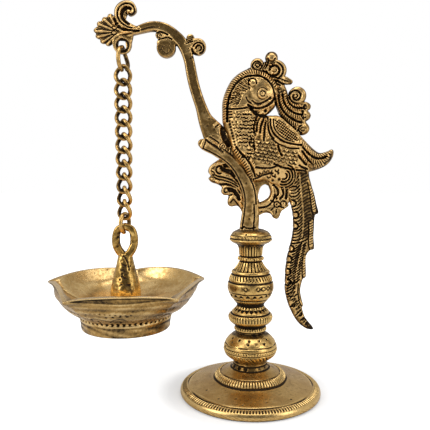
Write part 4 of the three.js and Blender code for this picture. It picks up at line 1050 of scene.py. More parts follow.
def bracket_casting():
    c = Canvas((-2, 115), (28, 147.5), 0.28)
    c.add_shape([
        (1, 120), (1, 129.2), (5.4, 128.6), (8.6, 129.8), (11.5, 132), (12.6, 135.4), (11.6, 138.6),
        (11, 143), (21, 143), (22.6, 137), (22.4, 131), (24.7, 126.8), (22.8, 124.6), (20, 122.5),
        (18.6, 119), (17, 117.5), (14.6, 118.3), (12.9, 120.7), (10, 121.5), (7.6, 121), (5.4, 120),
    ], 5.5, edge=1.6)
    c.add_shape([(0.5, 119), (0.5, 144.6), (12, 144.6), (11.4, 139.6), (9, 140.2), (6.4, 138.6), (5, 135.4),
                 (4.6, 131.6), (5.4, 128.6), (4, 124)], 4.2, edge=1.0)
    c.add_shape([(20, 145), (25.6, 145), (25.2, 138), (25.4, 131.6), (24.6, 128), (21, 128)], 4.2, edge=1.0)
    c.depth = 2.7
    c.chase((1.0, -1.3, (22.6, 141), (23.6, 136), (23.2, 131)))
    c.arcs((0.6, -0.5, 17, 127, 1.9, 20, 340, 24))
    c.dome(17, 127, 1.5, 0.5)
    c.pit(17, 127, 0.7, 1.5)
    c.pit(16.9, 130.9, 0.75, 1.6)
    c.pit(16.6, 121.9, 0.65, 1.1)
    c.groove([(16.8, 123.6), (16.4, 120.6)], 0.5, 0.9)
    for start, end in (((18.2, 125.8), (21.6, 124.8)), ((15.4, 125.4), (13.2, 123.2)),
                       ((15.4, 128.4), (13, 129.6))):
        c.groove([start, end], 0.6, 0.9)
    c.arcs((0.6, -0.9, 21.4, 127.4, 1.9, -40, 220, 20))
    c.dome(21.4, 127.2, 1.1, 0.5)
    c.chase(
        (1.0, 0.6, (3, 127), (7, 126.8), (11, 128.6), (13.8, 132.4), (14, 136.6), (12.6, 140.4)),
        (0.7, -0.9, (3, 125.2), (7, 124.9), (11.4, 126.2), (14.6, 129.8), (15.8, 133.6)),
        (0.8, -1.2, (15.4, 131.6), (17.6, 133.6), (17.2, 137), (14.8, 139.8)),
        (0.8, 0.5, (17.2, 131.4), (19.2, 133.8), (18.6, 137.4), (16, 140.6)),
        (0.9, -1.3, (19.2, 130.6), (21.2, 133.4), (20.6, 137.4), (18.4, 141)),
        (0.9, 0.5, (2, 122.6), (6, 123), (9.6, 123.8), (12.4, 122.6), (14, 120.4)),
    )
    for x, z in ((4.4, 123.8), (7, 122.4), (9, 127.2), (3.4, 120.9), (5.8, 124.4)):
        c.pit(x, z, 0.6, 0.5)
    return c


TRUNK = [(-18.9, 181), (-19.1, 187), (-19, 193), (-17.4, 199), (-14, 206), (-10.4, 210), (-6, 213),
         (-1, 214.8), (5, 213.6), (10, 211.2), (14.6, 207), (17.4, 202.6), (17, 196.5), (15.2, 190.4),
         (12.4, 187), (9.6, 184.7), (12.5, 184.4), (18, 183.8), (24, 179), (30, 173), (35, 167), (39, 160),
         (39.5, 154.5), (35.5, 151), (31.5, 148), (30.4, 143.5), (28.6, 139.5), (25, 137.1), (20.5, 136.8),
         (14.5, 139.4), (8, 141), (2, 141), (-2.4, 144.6), (-6.2, 150.4), (-10.4, 155.6), (-13.2, 160.4),
         (-14.0, 166), (-16.0, 172), (-17.9, 177)]
WING = [
    (5, 184.5), (9, 184.3), (13, 184.4), (18, 183.7), (26, 177), (32.5, 170.4), (36, 167), (40, 163.4),
    (44, 160.9), (47, 161), (50, 162), (52.6, 163.2), (54, 161.5), (53.3, 157.5), (50, 153.2), (45, 150.4),
    (40, 148.9), (36, 148), (30, 148.2), (22, 149.6), (15, 152), (8, 155.5), (3, 160), (0.5, 167),
    (1.5, 176),
]
PLUME = [
    (15.6, 205), (20.6, 204), (22.8, 200.4), (23.8, 196.4), (27, 193), (33.5, 193.6),
    (36.2, 193), (38.1, 190.6), (36.2, 187.6), (38.3, 184.6), (35.3, 181), (37.4, 176.6),
    (36, 173.6), (33, 172.2), (29, 173.5), (24, 178.5), (19.6, 183.2), (18.2, 185), (16.6, 189),
    (15, 194),
]
NECK_BORDER = [
    (-17.7, 181.5), (-17.8, 187), (-17.6, 192.5), (-16.1, 198.6), (-13, 204.8), (-9.4, 208.6),
    (-5.2, 211.6), (-1, 213), (4.6, 212.2), (9.6, 210.2), (14, 206.4), (16, 203.4),
]


def feather_tips(c, distance, pitch, row, depth, slope):
    """Rows of overlapping feather tips over a region, given by the distance inside it."""
    draw = np.random.RandomState(5)
    sway = 0.35 * np.sin(0.31 * c.x + 0.9) + 0.3 * np.sin(0.23 * c.z + 0.2 * c.x)
    lift = (c.z + slope * c.x + sway) / row
    line = np.floor(lift)
    jitter = draw.uniform(-0.25, 0.25, 400)[(line.astype(int) % 400)]
    across = (c.x + 0.3 * sway) / pitch + 0.5 * (line % 2) + jitter
    u = across % 1.0 - 0.5
    strength = draw.uniform(0.6, 1.25, 997)[((np.floor(across) * 31 + line * 57).astype(int) % 997)]
    above_tip = (lift - line - 0.12 - 2.6 * u ** 2) % 1.0
    scale = (1 - above_tip) * smoothstep(above_tip, 0, 0.16) * (1 - 0.6 * (2 * u) ** 4)
    c.relief += depth * (strength * scale - 0.4) * smoothstep(distance, 0, 1.2)


def dashes(c, paths, width, depth, length, gap, seed):
    """Short cuts along paths, as left by a small chisel."""
    draw = np.random.RandomState(seed)
    for path in paths:
        path = smooth_path(path)
        lengths = lengths_along(path)
        s = draw.uniform(0, gap)
        while s < lengths[-1]:
            end = s + length * draw.uniform(0.7, 1.2)
            cut = [point_at(path, lengths, s), point_at(path, lengths, end)]
            c.groove(cut, width, depth * draw.uniform(0.6, 1.2))
            s += length + gap * draw.uniform(0.6, 1.4)


def trunk_thickness(x, z):
    return 19.0 - 5.5 * (1 - smoothstep(z, 141, 157)) - 3.0 * smoothstep(z, 184, 197) + 0 * x


def wing_thickness(x, z):
    return 21.0 - 11.5 * smoothstep(x, 24, 53) + 0 * z


def peacock_casting():
    c = Canvas((-21, 134), (56, 227.5), 0.3)
    c.add_shape(TRUNK, trunk_thickness, edge=2.2, dome=5.6, dome_reach=11)
    c.add_shape(WING, wing_thickness, edge=1.5, dome=4.4, dome_reach=12)
    c.add_disc(5.4, 200.6, 9.6, 19.0, edge=1.8, dome=4.6)
    c.add_shape([(0, 196), (9, 192), (14.6, 192.5), (14, 189.6), (11.4, 187), (8, 186), (3, 188.4),
                 (-1, 192)], 13, edge=1.4, dome=1.6, dome_reach=4)
    c.add_shape(PLUME, 9.6, edge=1.8, dome=1.6, dome_reach=4)
    c.add_stroke([(-1, 212.5, 2.6), (6, 214.8, 3), (12, 216, 3.4), (17, 211, 3.4), (19, 204, 2.5)], 7,
                 edge=1.6)
    c.add_stroke([(17, 208.8, 2.2), (21.5, 207.2, 2.4), (24.9, 206.2, 1.5)], 5.4, edge=1.2)
    c.add_disc(3.6, 216.8, 4.4, 8, edge=1.6, dome=1.2)
    c.add_disc(12.7, 221.4, 4.1, 8.6, edge=1.6, dome=2.4)
    c.add_disc(15.8, 213.4, 6.6, 8.4, edge=1.8, dome=1.0)
    c.add_disc(29.4, 197.3, 5.8, 9.4, edge=1.8, dome=1.2)
    c.add_disc(35.6, 190.4, 2.6, 7.6, edge=1.4, dome=1.0)
    c.add_disc(34.8, 184.6, 3.4, 8, edge=1.4, dome=1.2)
    c.add_disc(33.4, 176.4, 4.1, 8.2, edge=1.4, dome=1.2)

    c.uneven(2, (4.5, 0.34), (1.8, 0.13), (0.7, 0.045))
    c.worn = 0.12
    c.tarnish_and_painted_shade = 0.03

    # Head: eye, nostril, cheek lines and beak
    c.depth = 9.2
    c.arcs(
        (0.75, 0.35, 7.2, 199, 2.7, 0, 360, 28), (0.5, -0.3, 7.2, 199, 3.6, 40, 330, 28),
        (0.45, -0.3, 7.2, 199, 1.75, 0, 360, 24),
    )
    c.dome(7.2, 199, 1.2, 0.4)
    c.arcs((0.6, -0.8, 0.6, 206.2, 2.7, -20, 215, 24))
    c.dome(0.6, 206.2, 2.1, 0.9)
    c.chase(
        (0.8, -0.6, (-3.6, 196.8), (-2, 194.2), (0.6, 192.4), (3.6, 191.6), (6, 192.2)),
        (0.8, -0.9, (0.4, 194.4), (3, 192.8), (6, 192.9), (9, 194.2), (12.6, 196.6)),
        (0.8, 0.5, (-0.6, 191.8), (3, 190.4), (8, 191.2), (12.6, 194.4)),
    )
    c.depth = 7.4
    c.chase(
        (1.0, -1.3, (-2.4, 191.6), (1, 189.9), (5, 189.4), (9.6, 191), (13.4, 193.8), (14.6, 196)),
        (0.7, 0.5, (3, 188.6), (7, 188.7), (11, 190.2), (13.6, 192)),
    )
    for x, z, radius, depth in ((0.2, 190.2, 1.9, 2.4), (3, 187.2, 1.5, 1.8), (4.8, 186.6, 1.0, 1.2),
                                (9, 187.9, 1.1, 2.0), (7.6, 186, 0.7, 1.0), (12, 190.6, 0.7, 0.8)):
        c.pit(x, z, radius, depth)
    c.chase((1.3, -1.8, (-0.6, 189), (3, 185.6), (6, 184.6), (9.4, 184.2)))

    # Neck: beaded border, deep groove, rows of short feather cuts
    c.depth = 5.0
    c.rope(NECK_BORDER, 1.6, 1.7, 1.55, 0.3, 1.0)
    c.depth = 6.4
    inner = smooth_path([(-15.8, 181), (-15.8, 186), (-15.5, 191), (-14.3, 197), (-11.4, 203), (-7.4, 207.4),
                         (-2.4, 209.9), (4.4, 210), (9.2, 207.8), (12.8, 204), (14.6, 199.5), (15.4, 195)])
    c.groove(inner, 0.7, 1.0)
    c.groove(inner[:20], 0.9, 1.2)
    c.groove(inner[34:52], 0.9, 1.2)
    c.depth = 7.4
    lengths = lengths_along(inner)
    draw = np.random.RandomState(7)
    for row, (reach, pitch) in enumerate(((2.2, 1.45), (4.8, 1.6), (7.4, 1.75))):
        for s in np.arange(11 - 1.5 * row, 35 - 2.6 * row, pitch):
            x, z = point_at(inner, lengths, s)
            toward = np.array([3.0 - x, 199.0 - z])
            toward /= np.hypot(*toward)
            start = np.array([x, z]) + toward * (reach - 1.0) + draw.uniform(-0.25, 0.25, 2)
            c.groove([start, start + toward * draw.uniform(1.6, 2.4)], 0.5,
                     draw.uniform(0.6, 1.1) - 0.15 * row)
    c.chase(
        (0.8, -1.2, (-16.6, 189.4), (-12, 189), (-7, 189.2), (-2, 190)),
        (0.5, -0.4, (-12, 190.6), (-7, 190.8), (-4, 191.4)),
    )
    for z in (187, 185.3, 183.4):
        c.groove([(-16.4, z), (-12.6, z + 0.2)], 0.65, 0.95)
    for z in np.arange(166, 182, 1.9):
        c.pit(-14.4 + 0.25 * (181 - z) * (z < 181), z, 0.75, 1.2)
        c.pit(-12.2 + 0.3 * (181 - z) * (z < 181), z - 0.7, 0.5, 0.8)

    # Breast: wavy punch marks, larger and deeper towards the wing
    c.depth = 8.6
    for row, z in enumerate(np.arange(159.0, 188.6, 2.3)):
        left = -13.5 + max(0, (180 - z)) * 0.5
        for x in np.arange(left + 1.4 + 1.2 * (row % 2), 2.4, 2.4):
            dx, dz = draw.uniform(-0.4, 0.4, 2)
            inner_side = smoothstep(x, -12, -5)
            if draw.uniform() < 0.35 + 0.5 * inner_side:
                mark_depth = (0.35 + 0.55 * inner_side) * draw.uniform(0.6, 1.4)
                c.groove(arc_path(x + dx, z + dz, 1.15, 205, 335, 8), 0.5, mark_depth)
            c.dome(x + dx, z + dz + 0.2, 1.0, 0.25)
            if draw.uniform() < 0.4:
                c.pit(x + 1.2 + dx, z + 1.1 + dz, 0.45, draw.uniform(0.3, 0.9))
    for z, first, last in ((185.4, -9, -2.4), (176.2, -7, -1), (168, -5, 0)):
        wave = [(x, z + 0.5 * math.sin(2.2 * x)) for x in np.arange(first, last, 0.6)]
        c.groove(wave, 0.45, 0.6)

    # Fan of shoulder feathers
    c.depth = 10.0
    fan = (
        [(3.2, 184.2), (2.2, 180), (1.6, 176), (2.6, 172.4)], [(6, 184.2), (3.8, 180.4), (3.4, 174.6)],
        [(8.2, 183.4), (6.4, 178.6), (5.6, 174)], [(9.8, 182.6), (8.6, 176.6), (8.2, 168.6)],
        [(10.8, 183.6), (10.8, 178), (12.4, 172.6), (14.4, 170)],
    )
    for path in fan:
        c.chase((0.8, -1.2, *path))
    between_fan = (
        [(4.7, 183.6), (2.9, 179.6), (2.5, 174.4), (2.7, 171)], [(7.2, 183), (5.2, 178.6), (4.6, 173)],
        [(9.1, 182.4), (7.5, 177.4), (6.9, 170)], [(10.3, 181.8), (9.8, 176.6), (10.4, 170.4)],
    )
    for path in between_fan:
        c.rope(path, 0.95, 0.8, 1.4, 0.6, 1.0)
    c.dome(5.4, 182.6, 1.9, 0.9)
    for path in ([(0, 170.6), (0.6, 167), (2, 163.6)], [(1.6, 169), (2, 165.6), (2.4, 163)],
                 [(-1.2, 168), (-0.8, 165.6)]):
        c.chase((0.7, -1.0, *path))

    # Back: a punched field inside a double ridge
    field = c.polygon(c.placed([(14.8, 182.6), (15.2, 177), (18.2, 172.6), (23, 169.2), (28.8, 167.8),
                                (32.4, 168.4), (30, 172.6), (26, 176.6), (19, 182.8)]), 40)
    across = np.sin(2 * math.pi * (c.x + 0.12 * c.z) / 2.05)
    squares = across * np.sin(2 * math.pi * (c.z - 0.2 * c.x) / 1.95)
    inside_field = smoothstep(field, 0.2, 1.0)
    c.relief += (0.75 * np.sign(squares) * np.abs(squares) ** 0.6 - 0.35) * inside_field
    c.chase(
        (0.7, -1.1, (12.3, 182.6), (12.6, 177.4), (15.4, 172.4), (20.8, 168.4), (27, 166.6), (33, 166)),
        (0.7, 0.7, (13.5, 182.6), (13.8, 177.2), (16.6, 172.6), (21.6, 169), (27.6, 167.1), (33, 166.9)),
        (0.5, -0.8, (14.5, 182.4), (14.8, 177.4), (17.5, 173.2), (22.4, 169.7), (28, 167.8)),
        (0.7, 0.6, (11.4, 180.4), (11.8, 175.6), (14.6, 171), (20, 167), (26.6, 165), (33.6, 164.6)),
        (0.6, -0.8, (13, 170), (18, 166.4), (25, 163.8), (31, 163.6)),
    )
    c.depth = 8.6
    c.chase((0.7, 0.5, (20, 183), (26, 178.4), (32, 171.8)))

    # Wing: feather tips, slits and long flight feathers
    c.depth = 10.0
    field = c.polygon(c.placed([(3, 171), (9, 168.6), (14, 169), (20, 165.6), (28, 163), (32, 160),
                                (30, 152.4), (20, 151), (8, 153.4), (-2, 158), (-4, 163), (0, 168)]), 40)
    feather_tips(c, field, 2.7, 2.15, 1.25, slope=0.22)
    c.chase((0.8, -1.5, (17.4, 165.8), (18.4, 162), (20, 158.8)))
    c.depth = 8.4
    for path in (
        [(33.6, 164.4), (37.4, 160.4), (42, 157.6), (46.6, 157.2), (50.4, 158.6)],
        [(33.2, 161.8), (36.6, 157.2), (40.4, 152.8)], [(30.6, 159), (33.4, 155.6), (36, 153.2)],
        [(31.6, 152.6), (34, 151.2), (37, 150.2)], [(15, 153.6), (21, 151.2), (28, 149.8), (36, 149)],
    ):
        c.chase((0.85, -1.5, *path))
    for path in (
        [(33, 168), (37, 163.4), (41, 160.4), (45.6, 158.8), (50, 160.6), (53, 162)],
        [(35.2, 160.4), (39, 156.6), (44, 155), (48.6, 156), (51.6, 158.4)],
        [(32.6, 158.6), (36.6, 154.4), (41, 152)],
        [(38.6, 154.4), (42.6, 152.4), (47.6, 153)],
    ):
        c.rope(path, 1.4, 1.1, 1.6, 0.5, 1.0)
    c.rope([(21, 183), (26.6, 178), (32.6, 171.6), (37, 167.6)], 1.2, 0.7, 1.6, 0.4, 1.0)
    dashes(c, ([(40, 151), (44, 151.6), (49, 154)], [(24, 152.4), (29, 151.4), (33, 150.6)]), 0.45, 0.5,
           1.6, 1.0, 3)

    # Lower border and thigh
    c.depth = 6.0
    c.rope([(-11.4, 163), (-8.4, 158.9), (-4.6, 154), (-2, 149), (-0.2, 144), (3.2, 142.6)], 1.5, 1.4,
           1.65, 0.2, 1.0)
    c.depth = 8.0
    c.chase((0.8, -1.4, (-9.8, 164.6), (-6.6, 160.4), (-3.2, 157), (-0.4, 153), (1.4, 149), (2.8, 145.6)))
    c.rope([(-5.6, 160.6), (-2, 157.2), (1.4, 153.6), (3.2, 149.4)], 0.9, 0.8, 1.5, 0.4, 1.0)
    c.chase((0.9, -1.1, (-6, 157.9), (-3.4, 158.6), (-1.2, 156.6)))
    c.depth = 6.4
    c.chase(
        (0.9, -0.9, (2, 143.6), (6, 145.4), (10, 147), (14, 147.4)),
        (0.8, -1.0, (3, 151.4), (8, 150.8), (13, 151), (16.6, 152.4)),
    )
    for x, z in ((6.6, 148), (9.4, 149.2), (12.4, 149), (14.6, 146.4), (11.6, 145.4), (16.6, 149.6),
                 (4.6, 147)):
        c.arcs((0.5, -0.8, x, z, 1.1, 180, 380, 8))
    for radius in (2.0, 3.9, 5.8, 7.6):
        c.arcs(
            (0.65, -1.2, 21.4, 145.6, radius, -110, 50 + 3 * radius, 24),
            (0.7, 0.5, 21.4, 145.6, radius + 0.95, -110, 50 + 3 * radius, 24),
        )
    for x, z in ((15.6, 145), (17.6, 147.6), (18.4, 143.6), (14.2, 142.8)):
        c.pit(x, z, 0.9, 0.9)
    c.chase((0.7, -0.6, (13, 140.6), (18, 139), (25, 137.8), (30, 139.6)))

    # Crest curls
    c.depth = 4.0
    c.arcs(
        (0.75, -1.1, 3.6, 216.8, 3.1, 265, 0, 30, 2.4),
        (0.6, -1.1, 3.8, 216.8, 1.7, 170, -150, 24, 0.9),
        (0.55, 0.4, 3.7, 216.8, 2.4, 200, -80, 24, 1.8),
    )
    for x in (6.4, 7.8, 9.2):
        c.chase((0.6, -1.2, (x + 1.6, 219.6), (x + 0.8, 217), (x - 0.6, 214.8)))
    c.dome(12.7, 221.5, 3.2, 0.6)
    c.arcs(
        (0.8, -0.9, 12.7, 221.5, 2.3, 190, 350, 20), (0.5, -0.8, 12.9, 221.5, 3.7, 185, 300, 20),
    )
    c.chase((0.7, 0.6, (9, 218.2), (12, 217.6), (15, 218.6), (17, 218)))
    for x, z in ((9.8, 217), (11.6, 216.4), (13.6, 217.2)):
        c.pit(x, z, 0.7, 1.4)
    c.arcs(
        (0.9, -1.6, 14.8, 213.4, 3.4, 170, -110, 36, 2.8), (0.75, -1.1, 15.2, 213.6, 5.1, 120, -60, 30),
    )
    c.dome(14.5, 213.8, 2.0, 0.6)
    c.arcs((0.5, -0.7, 14.6, 213.8, 1.2, 200, 470, 18))
    c.chase((0.8, -1.3, (10, 211.6), (13.4, 210), (17.4, 208.6)))
    for x, z in ((5, 213.6), (7.2, 213.8), (9.6, 213.2)):
        c.groove([(x, z), (x + 1.2, z - 1.8)], 0.5, 0.8)
    c.chase(
        (0.8, -1.3, (16.6, 207.4), (19, 205.8), (22.4, 204.8)),
        (0.5, -0.8, (18.4, 208.6), (21, 207.6), (23.6, 207)),
    )
    c.dome(22.8, 206, 1.1, 0.3)

    # Plume bands
    c.depth = 5.0
    c.groove([(15.8, 205.6), (18.4, 204.4)], 0.7, 1.0)
    c.chase((0.6, -1.0, (15.6, 198.6), (18, 198), (20.6, 198.2)))
    for width, path in (
        (1.25, [(16.3, 197.6), (16.6, 193.4), (18.2, 188.6), (21.4, 184.4), (25.6, 181), (30, 178.6)]),
        (1.25, [(18.8, 197.6), (19.4, 193.6), (21.4, 189.6), (24.6, 186.4), (28.6, 184.2), (32.6, 183.4)]),
        (1.2, [(21.6, 199.4), (22.2, 195.4), (24.2, 191.8), (27.4, 189.4), (31.4, 188.4)]),
        (0.9, [(23.4, 196.6), (25.4, 193.2), (28.6, 191.4), (32, 191.2)]),
    ):
        c.rope(path, 1.1 * width, 1.3, 1.5, 0.45, 1.0)
    for path in (
        [(17.5, 197.4), (18, 193.4), (19.8, 189), (23, 185.2), (27, 182.4), (31.4, 180.8)],
        [(20.2, 198), (20.8, 194), (22.8, 190.4), (26, 187.6), (30, 185.9), (33.4, 185.6)],
        [(22.8, 197.4), (24, 193.6), (26.6, 190.8), (30, 189.6), (33, 189.6)],
        [(15.3, 196), (16, 191), (17.4, 186.8), (20.4, 182.8), (24.6, 179.2), (28.6, 176)],
    ):
        c.chase((0.75, -1.7, *path))
    for x, z in ((18, 202.8), (18.4, 201.2), (18.8, 199.8)):
        c.arcs((0.45, -0.6, x, z, 1.3, 200, 330, 8))
    c.arcs(
        (0.8, -1.3, 28.8, 197.4, 4.3, 200, -210, 60, 1.6), (0.6, -1.0, 28.6, 197.5, 1.2, 60, -120, 20),
    )
    for x, z, radius in ((35.4, 190.3, 1.5), (34.6, 184.6, 2.0), (33.4, 176.2, 2.5)):
        c.arcs(
            (0.7, -1.1, x, z, radius, 110, 250, 16), (0.5, -0.7, x, z, 0.5 * radius, 60, 330, 16),
        )
    for x, z in ((33.4, 187.6), (32.4, 180.6), (30.6, 175.4)):
        c.pit(x, z, 1.0, 1.6)
    return c


TAIL_EDGES = [(149.6, 27, 36.4), (144, 26.6, 38.2), (138, 24.6, 40), (133, 24, 41.6), (127, 26, 43),
              (121.6, 27.3, 44.3), (119.6, 27.5, 42), (112, 27.8, 41.5), (105, 27, 41.3), (98, 25.4, 41.7),
              (96.4, 25, 38.6), (92, 24, 36.4), (84, 23, 36.6), (79, 22.8, 36.5), (77, 22.8, 34.4),
              (70, 22.8, 33), (64, 24, 34), (60, 25.2, 35), (58, 26, 34.4), (52, 29, 36.2),
              (47.5, 32.4, 39.5), (44.8, 35.8, 41.7), (43.6, 38.6, 41.6)]


def tail_casting():
    c = Canvas((20, 41.5), (47, 151.5), 0.3)
    outline = [(right, z) for z, _, right in TAIL_EDGES] + [(left, z) for z, left, _ in TAIL_EDGES[::-1]]
    c.add_shape(outline, 7.5, edge=1.2, dome=1.5, dome_reach=4)
    c.uneven(4, (1.8, 0.1), (0.6, 0.045))
    # The tail is darker all over: tarnish, with painted shade that tones down the light its face catches.
    c.tarnish_and_painted_shade = 0.23
    c.depth = 3.6
    middle = smooth_path([(31.4, 148), (32.4, 140), (33.6, 130), (34.6, 119), (34.2, 108), (32.4, 99),
                          (30.6, 90), (28.8, 80), (28.2, 70), (30.4, 58.6), (35.4, 50), (39.6, 45.6)])
    lengths = lengths_along(middle)
    draw = np.random.RandomState(11)
    joint = 101.0
    # Upper feather: barbs that hang from the middle line to the left, and rise from it to the right
    for s in np.arange(0.5, np.interp(-joint, -middle[:, 1], lengths), 2.1):
        x, z = point_at(middle, lengths, s)
        left = [(x - 0.7, z + 0.2), (x - 2.4, z - 1.7), (x - 4.4, z - 2.7), (x - 6.4, z - 2.9)]
        c.groove(smooth_path(left, steps=4), 0.55, draw.uniform(0.35, 0.9))
        right = [(x + 0.6, z), (x + 2.6, z + 1.5), (x + 4.6, z + 2.3)]
        c.groove(smooth_path(right, steps=4), 0.45, draw.uniform(0.15, 0.45))
    # Lower feather: steep slanted cuts, dying out above the plain tip
    for z in np.arange(99.5, 64, -1.9):
        x = np.interp(-z, -middle[:, 1], middle[:, 0])
        fade = smoothstep(z, 62, 74)
        c.groove(smooth_path([(x - 3.8, z - 2.2), (x - 1.6, z - 0.9), (x + 1.2, z + 1.6)], steps=4), 0.72,
                 draw.uniform(0.9, 1.3) * fade)
        if z > 74:
            c.groove([(x + 2.0, z + 0.2), (x + 4.2, z + 2.2)], 0.6, draw.uniform(0.6, 1.1) * fade)
    c.ridge(middle[lengths < 52], 0.7, 0.15)
    for x, z in ((27.6, 127.6), (29.4, 120), (29.2, 112.6), (26.6, 97.6), (25.2, 90.4), (24.6, 82),
                 (24.6, 75.2)):
        c.dome(x, z, 1.8, 1.0)
        c.arcs((0.75, -1.3, x - 0.1, z, 2.1, -150, 80, 24))
    for _ in range(95):
        z = draw.uniform(46, 76)
        x = np.interp(-z, -middle[:, 1], middle[:, 0]) + draw.uniform(-3.2, 2.6) * smoothstep(z, 43, 60)
        reach = draw.uniform(0.4, 1.1)
        c.groove([(x - reach, z - 0.9 * reach), (x + reach, z + 0.9 * reach)], 0.45, draw.uniform(0.3, 0.9))
    for path in (
        [(42.8, 119.6), (40.6, 121), (39.6, 126), (38.6, 134), (37, 141)],
        [(39, 97), (38, 101), (38.2, 108), (38, 115)], [(34.6, 77.6), (34.2, 82), (34.4, 89), (35, 94)],
        [(34.2, 58.8), (32.6, 62), (31.6, 68), (31.8, 74)],
    ):
        c.chase((0.5, -0.6, *path))
    for path in ([(26, 101), (30, 101.2), (35, 102.6), (37.8, 104.4)],
                 [(26.4, 103.4), (30.6, 103.2), (35, 105)]):
        c.chase((0.6, -0.9, *path))
    for path in ([(41.8, 123), (40.8, 130), (39, 138)], [(40, 100), (40, 108), (40, 116)],
                 [(35.6, 80), (35.6, 87), (36.4, 92)]):
        c.rope(path, 1.2, 0.7, 1.7, 0.6, 1.0)
    c.arcs((0.6, -0.8, 28, 135.4, 3.6, 60, 250, 24))
    c.dome(28.4, 135.2, 2.6, 0.5)
    for x, z in ((28, 66), (30.6, 62), (31, 57), (34, 54), (36.4, 50), (38.6, 48), (29, 71), (33, 52.5),
                 (25.6, 69.6)):
        c.pit(x, z, draw.uniform(0.5, 0.9), draw.uniform(0.4, 0.9))
    return c


for piece_name, make_canvas, cad_node in (("chased_arm", arm_casting, "lamp_arm"),
                                          ("chased_leaf_scroll", leaf_casting, "leaf_scroll"),
                                          ("chased_flower_bracket", bracket_casting, "flower_bracket"),
                                          ("chased_peacock", peacock_casting, "peacock"),
                                          ("chased_tail", tail_casting, "peacock_tail")):
    add_casting(piece_name, make_canvas(), cad_node)


# Chain and rings, bent from wire

WIRE_COLUMNS = 28
# Waves along the wire, turns round it, and share of its unevenness
WIRE_WAVES = ((2, 1, 1), (3, 2, 0.9), (5, 2, 0.7), (8, 3, 0.5), (13, 1, 0.45), (17, 4, 0.3))


def wire_body(centre, radius, closed, seed, middle, shade):
    """Wire along a path, a little uneven as forging leaves it, with painted shade on its side towards a
    middle point and a painted highlight on its outer side.
    """
    if closed:
        ahead, behind = np.roll(centre, -1, 0), np.roll(centre, 1, 0)
    else:
        ahead = np.vstack([centre[1:], 2 * centre[-1] - centre[-2]])
        behind = np.vstack([2 * centre[0] - centre[1], centre[:-1]])
    along = ahead - behind
    along /= np.linalg.norm(along, axis=1)[:, None]
    normal = np.empty_like(centre)
    first = np.cross(along[0], centre[0] - middle)
    first = np.cross(first, along[0])
    normal[0] = first / np.linalg.norm(first)
    for i in range(1, len(centre)):
        step = normal[i - 1] - along[i] * (normal[i - 1] @ along[i])
        normal[i] = step / np.linalg.norm(step)
    binormal = np.cross(along, normal)
    if closed:
        last = normal[-1] - along[0] * (normal[-1] @ along[0])
        twist = math.atan2(last @ binormal[0], last @ normal[0])
        turn = -twist * np.arange(len(centre)) / len(centre)
        normal, binormal = (np.cos(turn)[:, None] * normal + np.sin(turn)[:, None] * binormal,
                            np.cos(turn)[:, None] * binormal - np.sin(turn)[:, None] * normal)
    around = 2 * math.pi * np.arange(WIRE_COLUMNS) / WIRE_COLUMNS
    run = 2 * math.pi * np.arange(len(centre)) / len(centre)
    draw = np.random.RandomState(seed)
    size = np.full((len(centre), WIRE_COLUMNS), float(radius))
    uneven = np.zeros_like(size)
    for waves, turns, share in WIRE_WAVES:
        phase = draw.uniform(0, 6.28)
        uneven += share * np.sin(waves * run[:, None] + turns * around[None, :] + phase)
    size *= 1 + 0.018 * uneven
    out = np.cos(around)[None, :, None] * normal[:, None] + np.sin(around)[None, :, None] * binormal[:, None]
    points = centre[:, None] + size[..., None] * out
    # Painted shade on the side of the wire that faces the middle point, painted highlight on its outer side
    inward = (middle - centre) / np.linalg.norm(middle - centre, axis=1)[:, None]
    inward = (inward[:, None] * out).sum(2)
    cavity = shade * np.clip(inward, -0.8, 1) - 0.06 * uneven
    if closed:
        return points.reshape(-1, 3), grid_faces(len(centre), WIRE_COLUMNS, joined=True), cavity.ravel()
    ends = []
    for end, tip in ((0, -along[0]), (-1, along[-1])):
        ends.append(centre[end] + 0.25 * tip + 0.82 * size[end][:, None] * out[end])
    points = np.vstack([ends[0][None], points, ends[1][None]])
    cavity = np.vstack([cavity[:1] + 0.1, cavity, cavity[-1:] + 0.1])
    faces = capped_faces(len(points), WIRE_COLUMNS)
    return points.reshape(-1, 3), faces, cavity.ravel()


RING_FLARE = 1.6


def jump_ring(node, wire, width, turn, lean=0.0):
    """Ring bent shut, with its cut end flared out beside the other end. Its far side can lean."""
    low, high = node_box(node)
    height = (high[2] - low[2] - wire) / 2
    middle = np.array([CHAIN_X, 0, (low[2] + high[2]) / 2])
    open_angle = 0.16 * math.pi
    angle = -math.pi / 2 + open_angle + (2 * math.pi - 1.35 * open_angle) * np.arange(21) / 20
    across = np.cos(angle) * ((width - wire) / 2 + np.where(np.arange(21) == 0, RING_FLARE, 0))
    x, up = smooth_path(np.stack([across, np.sin(angle) * height], 1)).T
    turn = math.radians(turn)
    sideways = lean * np.clip(x / width, 0, 1) * -2 * np.sin(np.arctan2(up, x))
    centre = np.stack([CHAIN_X + x * math.cos(turn) + sideways, x * math.sin(turn), middle[2] + up], 1)
    points, faces, cavity = wire_body(centre, 0.5 * wire - 0.03, False, len(node), middle, 0.22)
    add_piece("forged_" + node, points, faces, cavity, CHAIN, node, [node])


LINKS = 11
LINK_WIRE, LINK_WIDTH = 2.7, 12
# Degrees: the twist in half a link, and the turn from one link to the next
LINK_TWIST, LINK_TURN = 45, -4


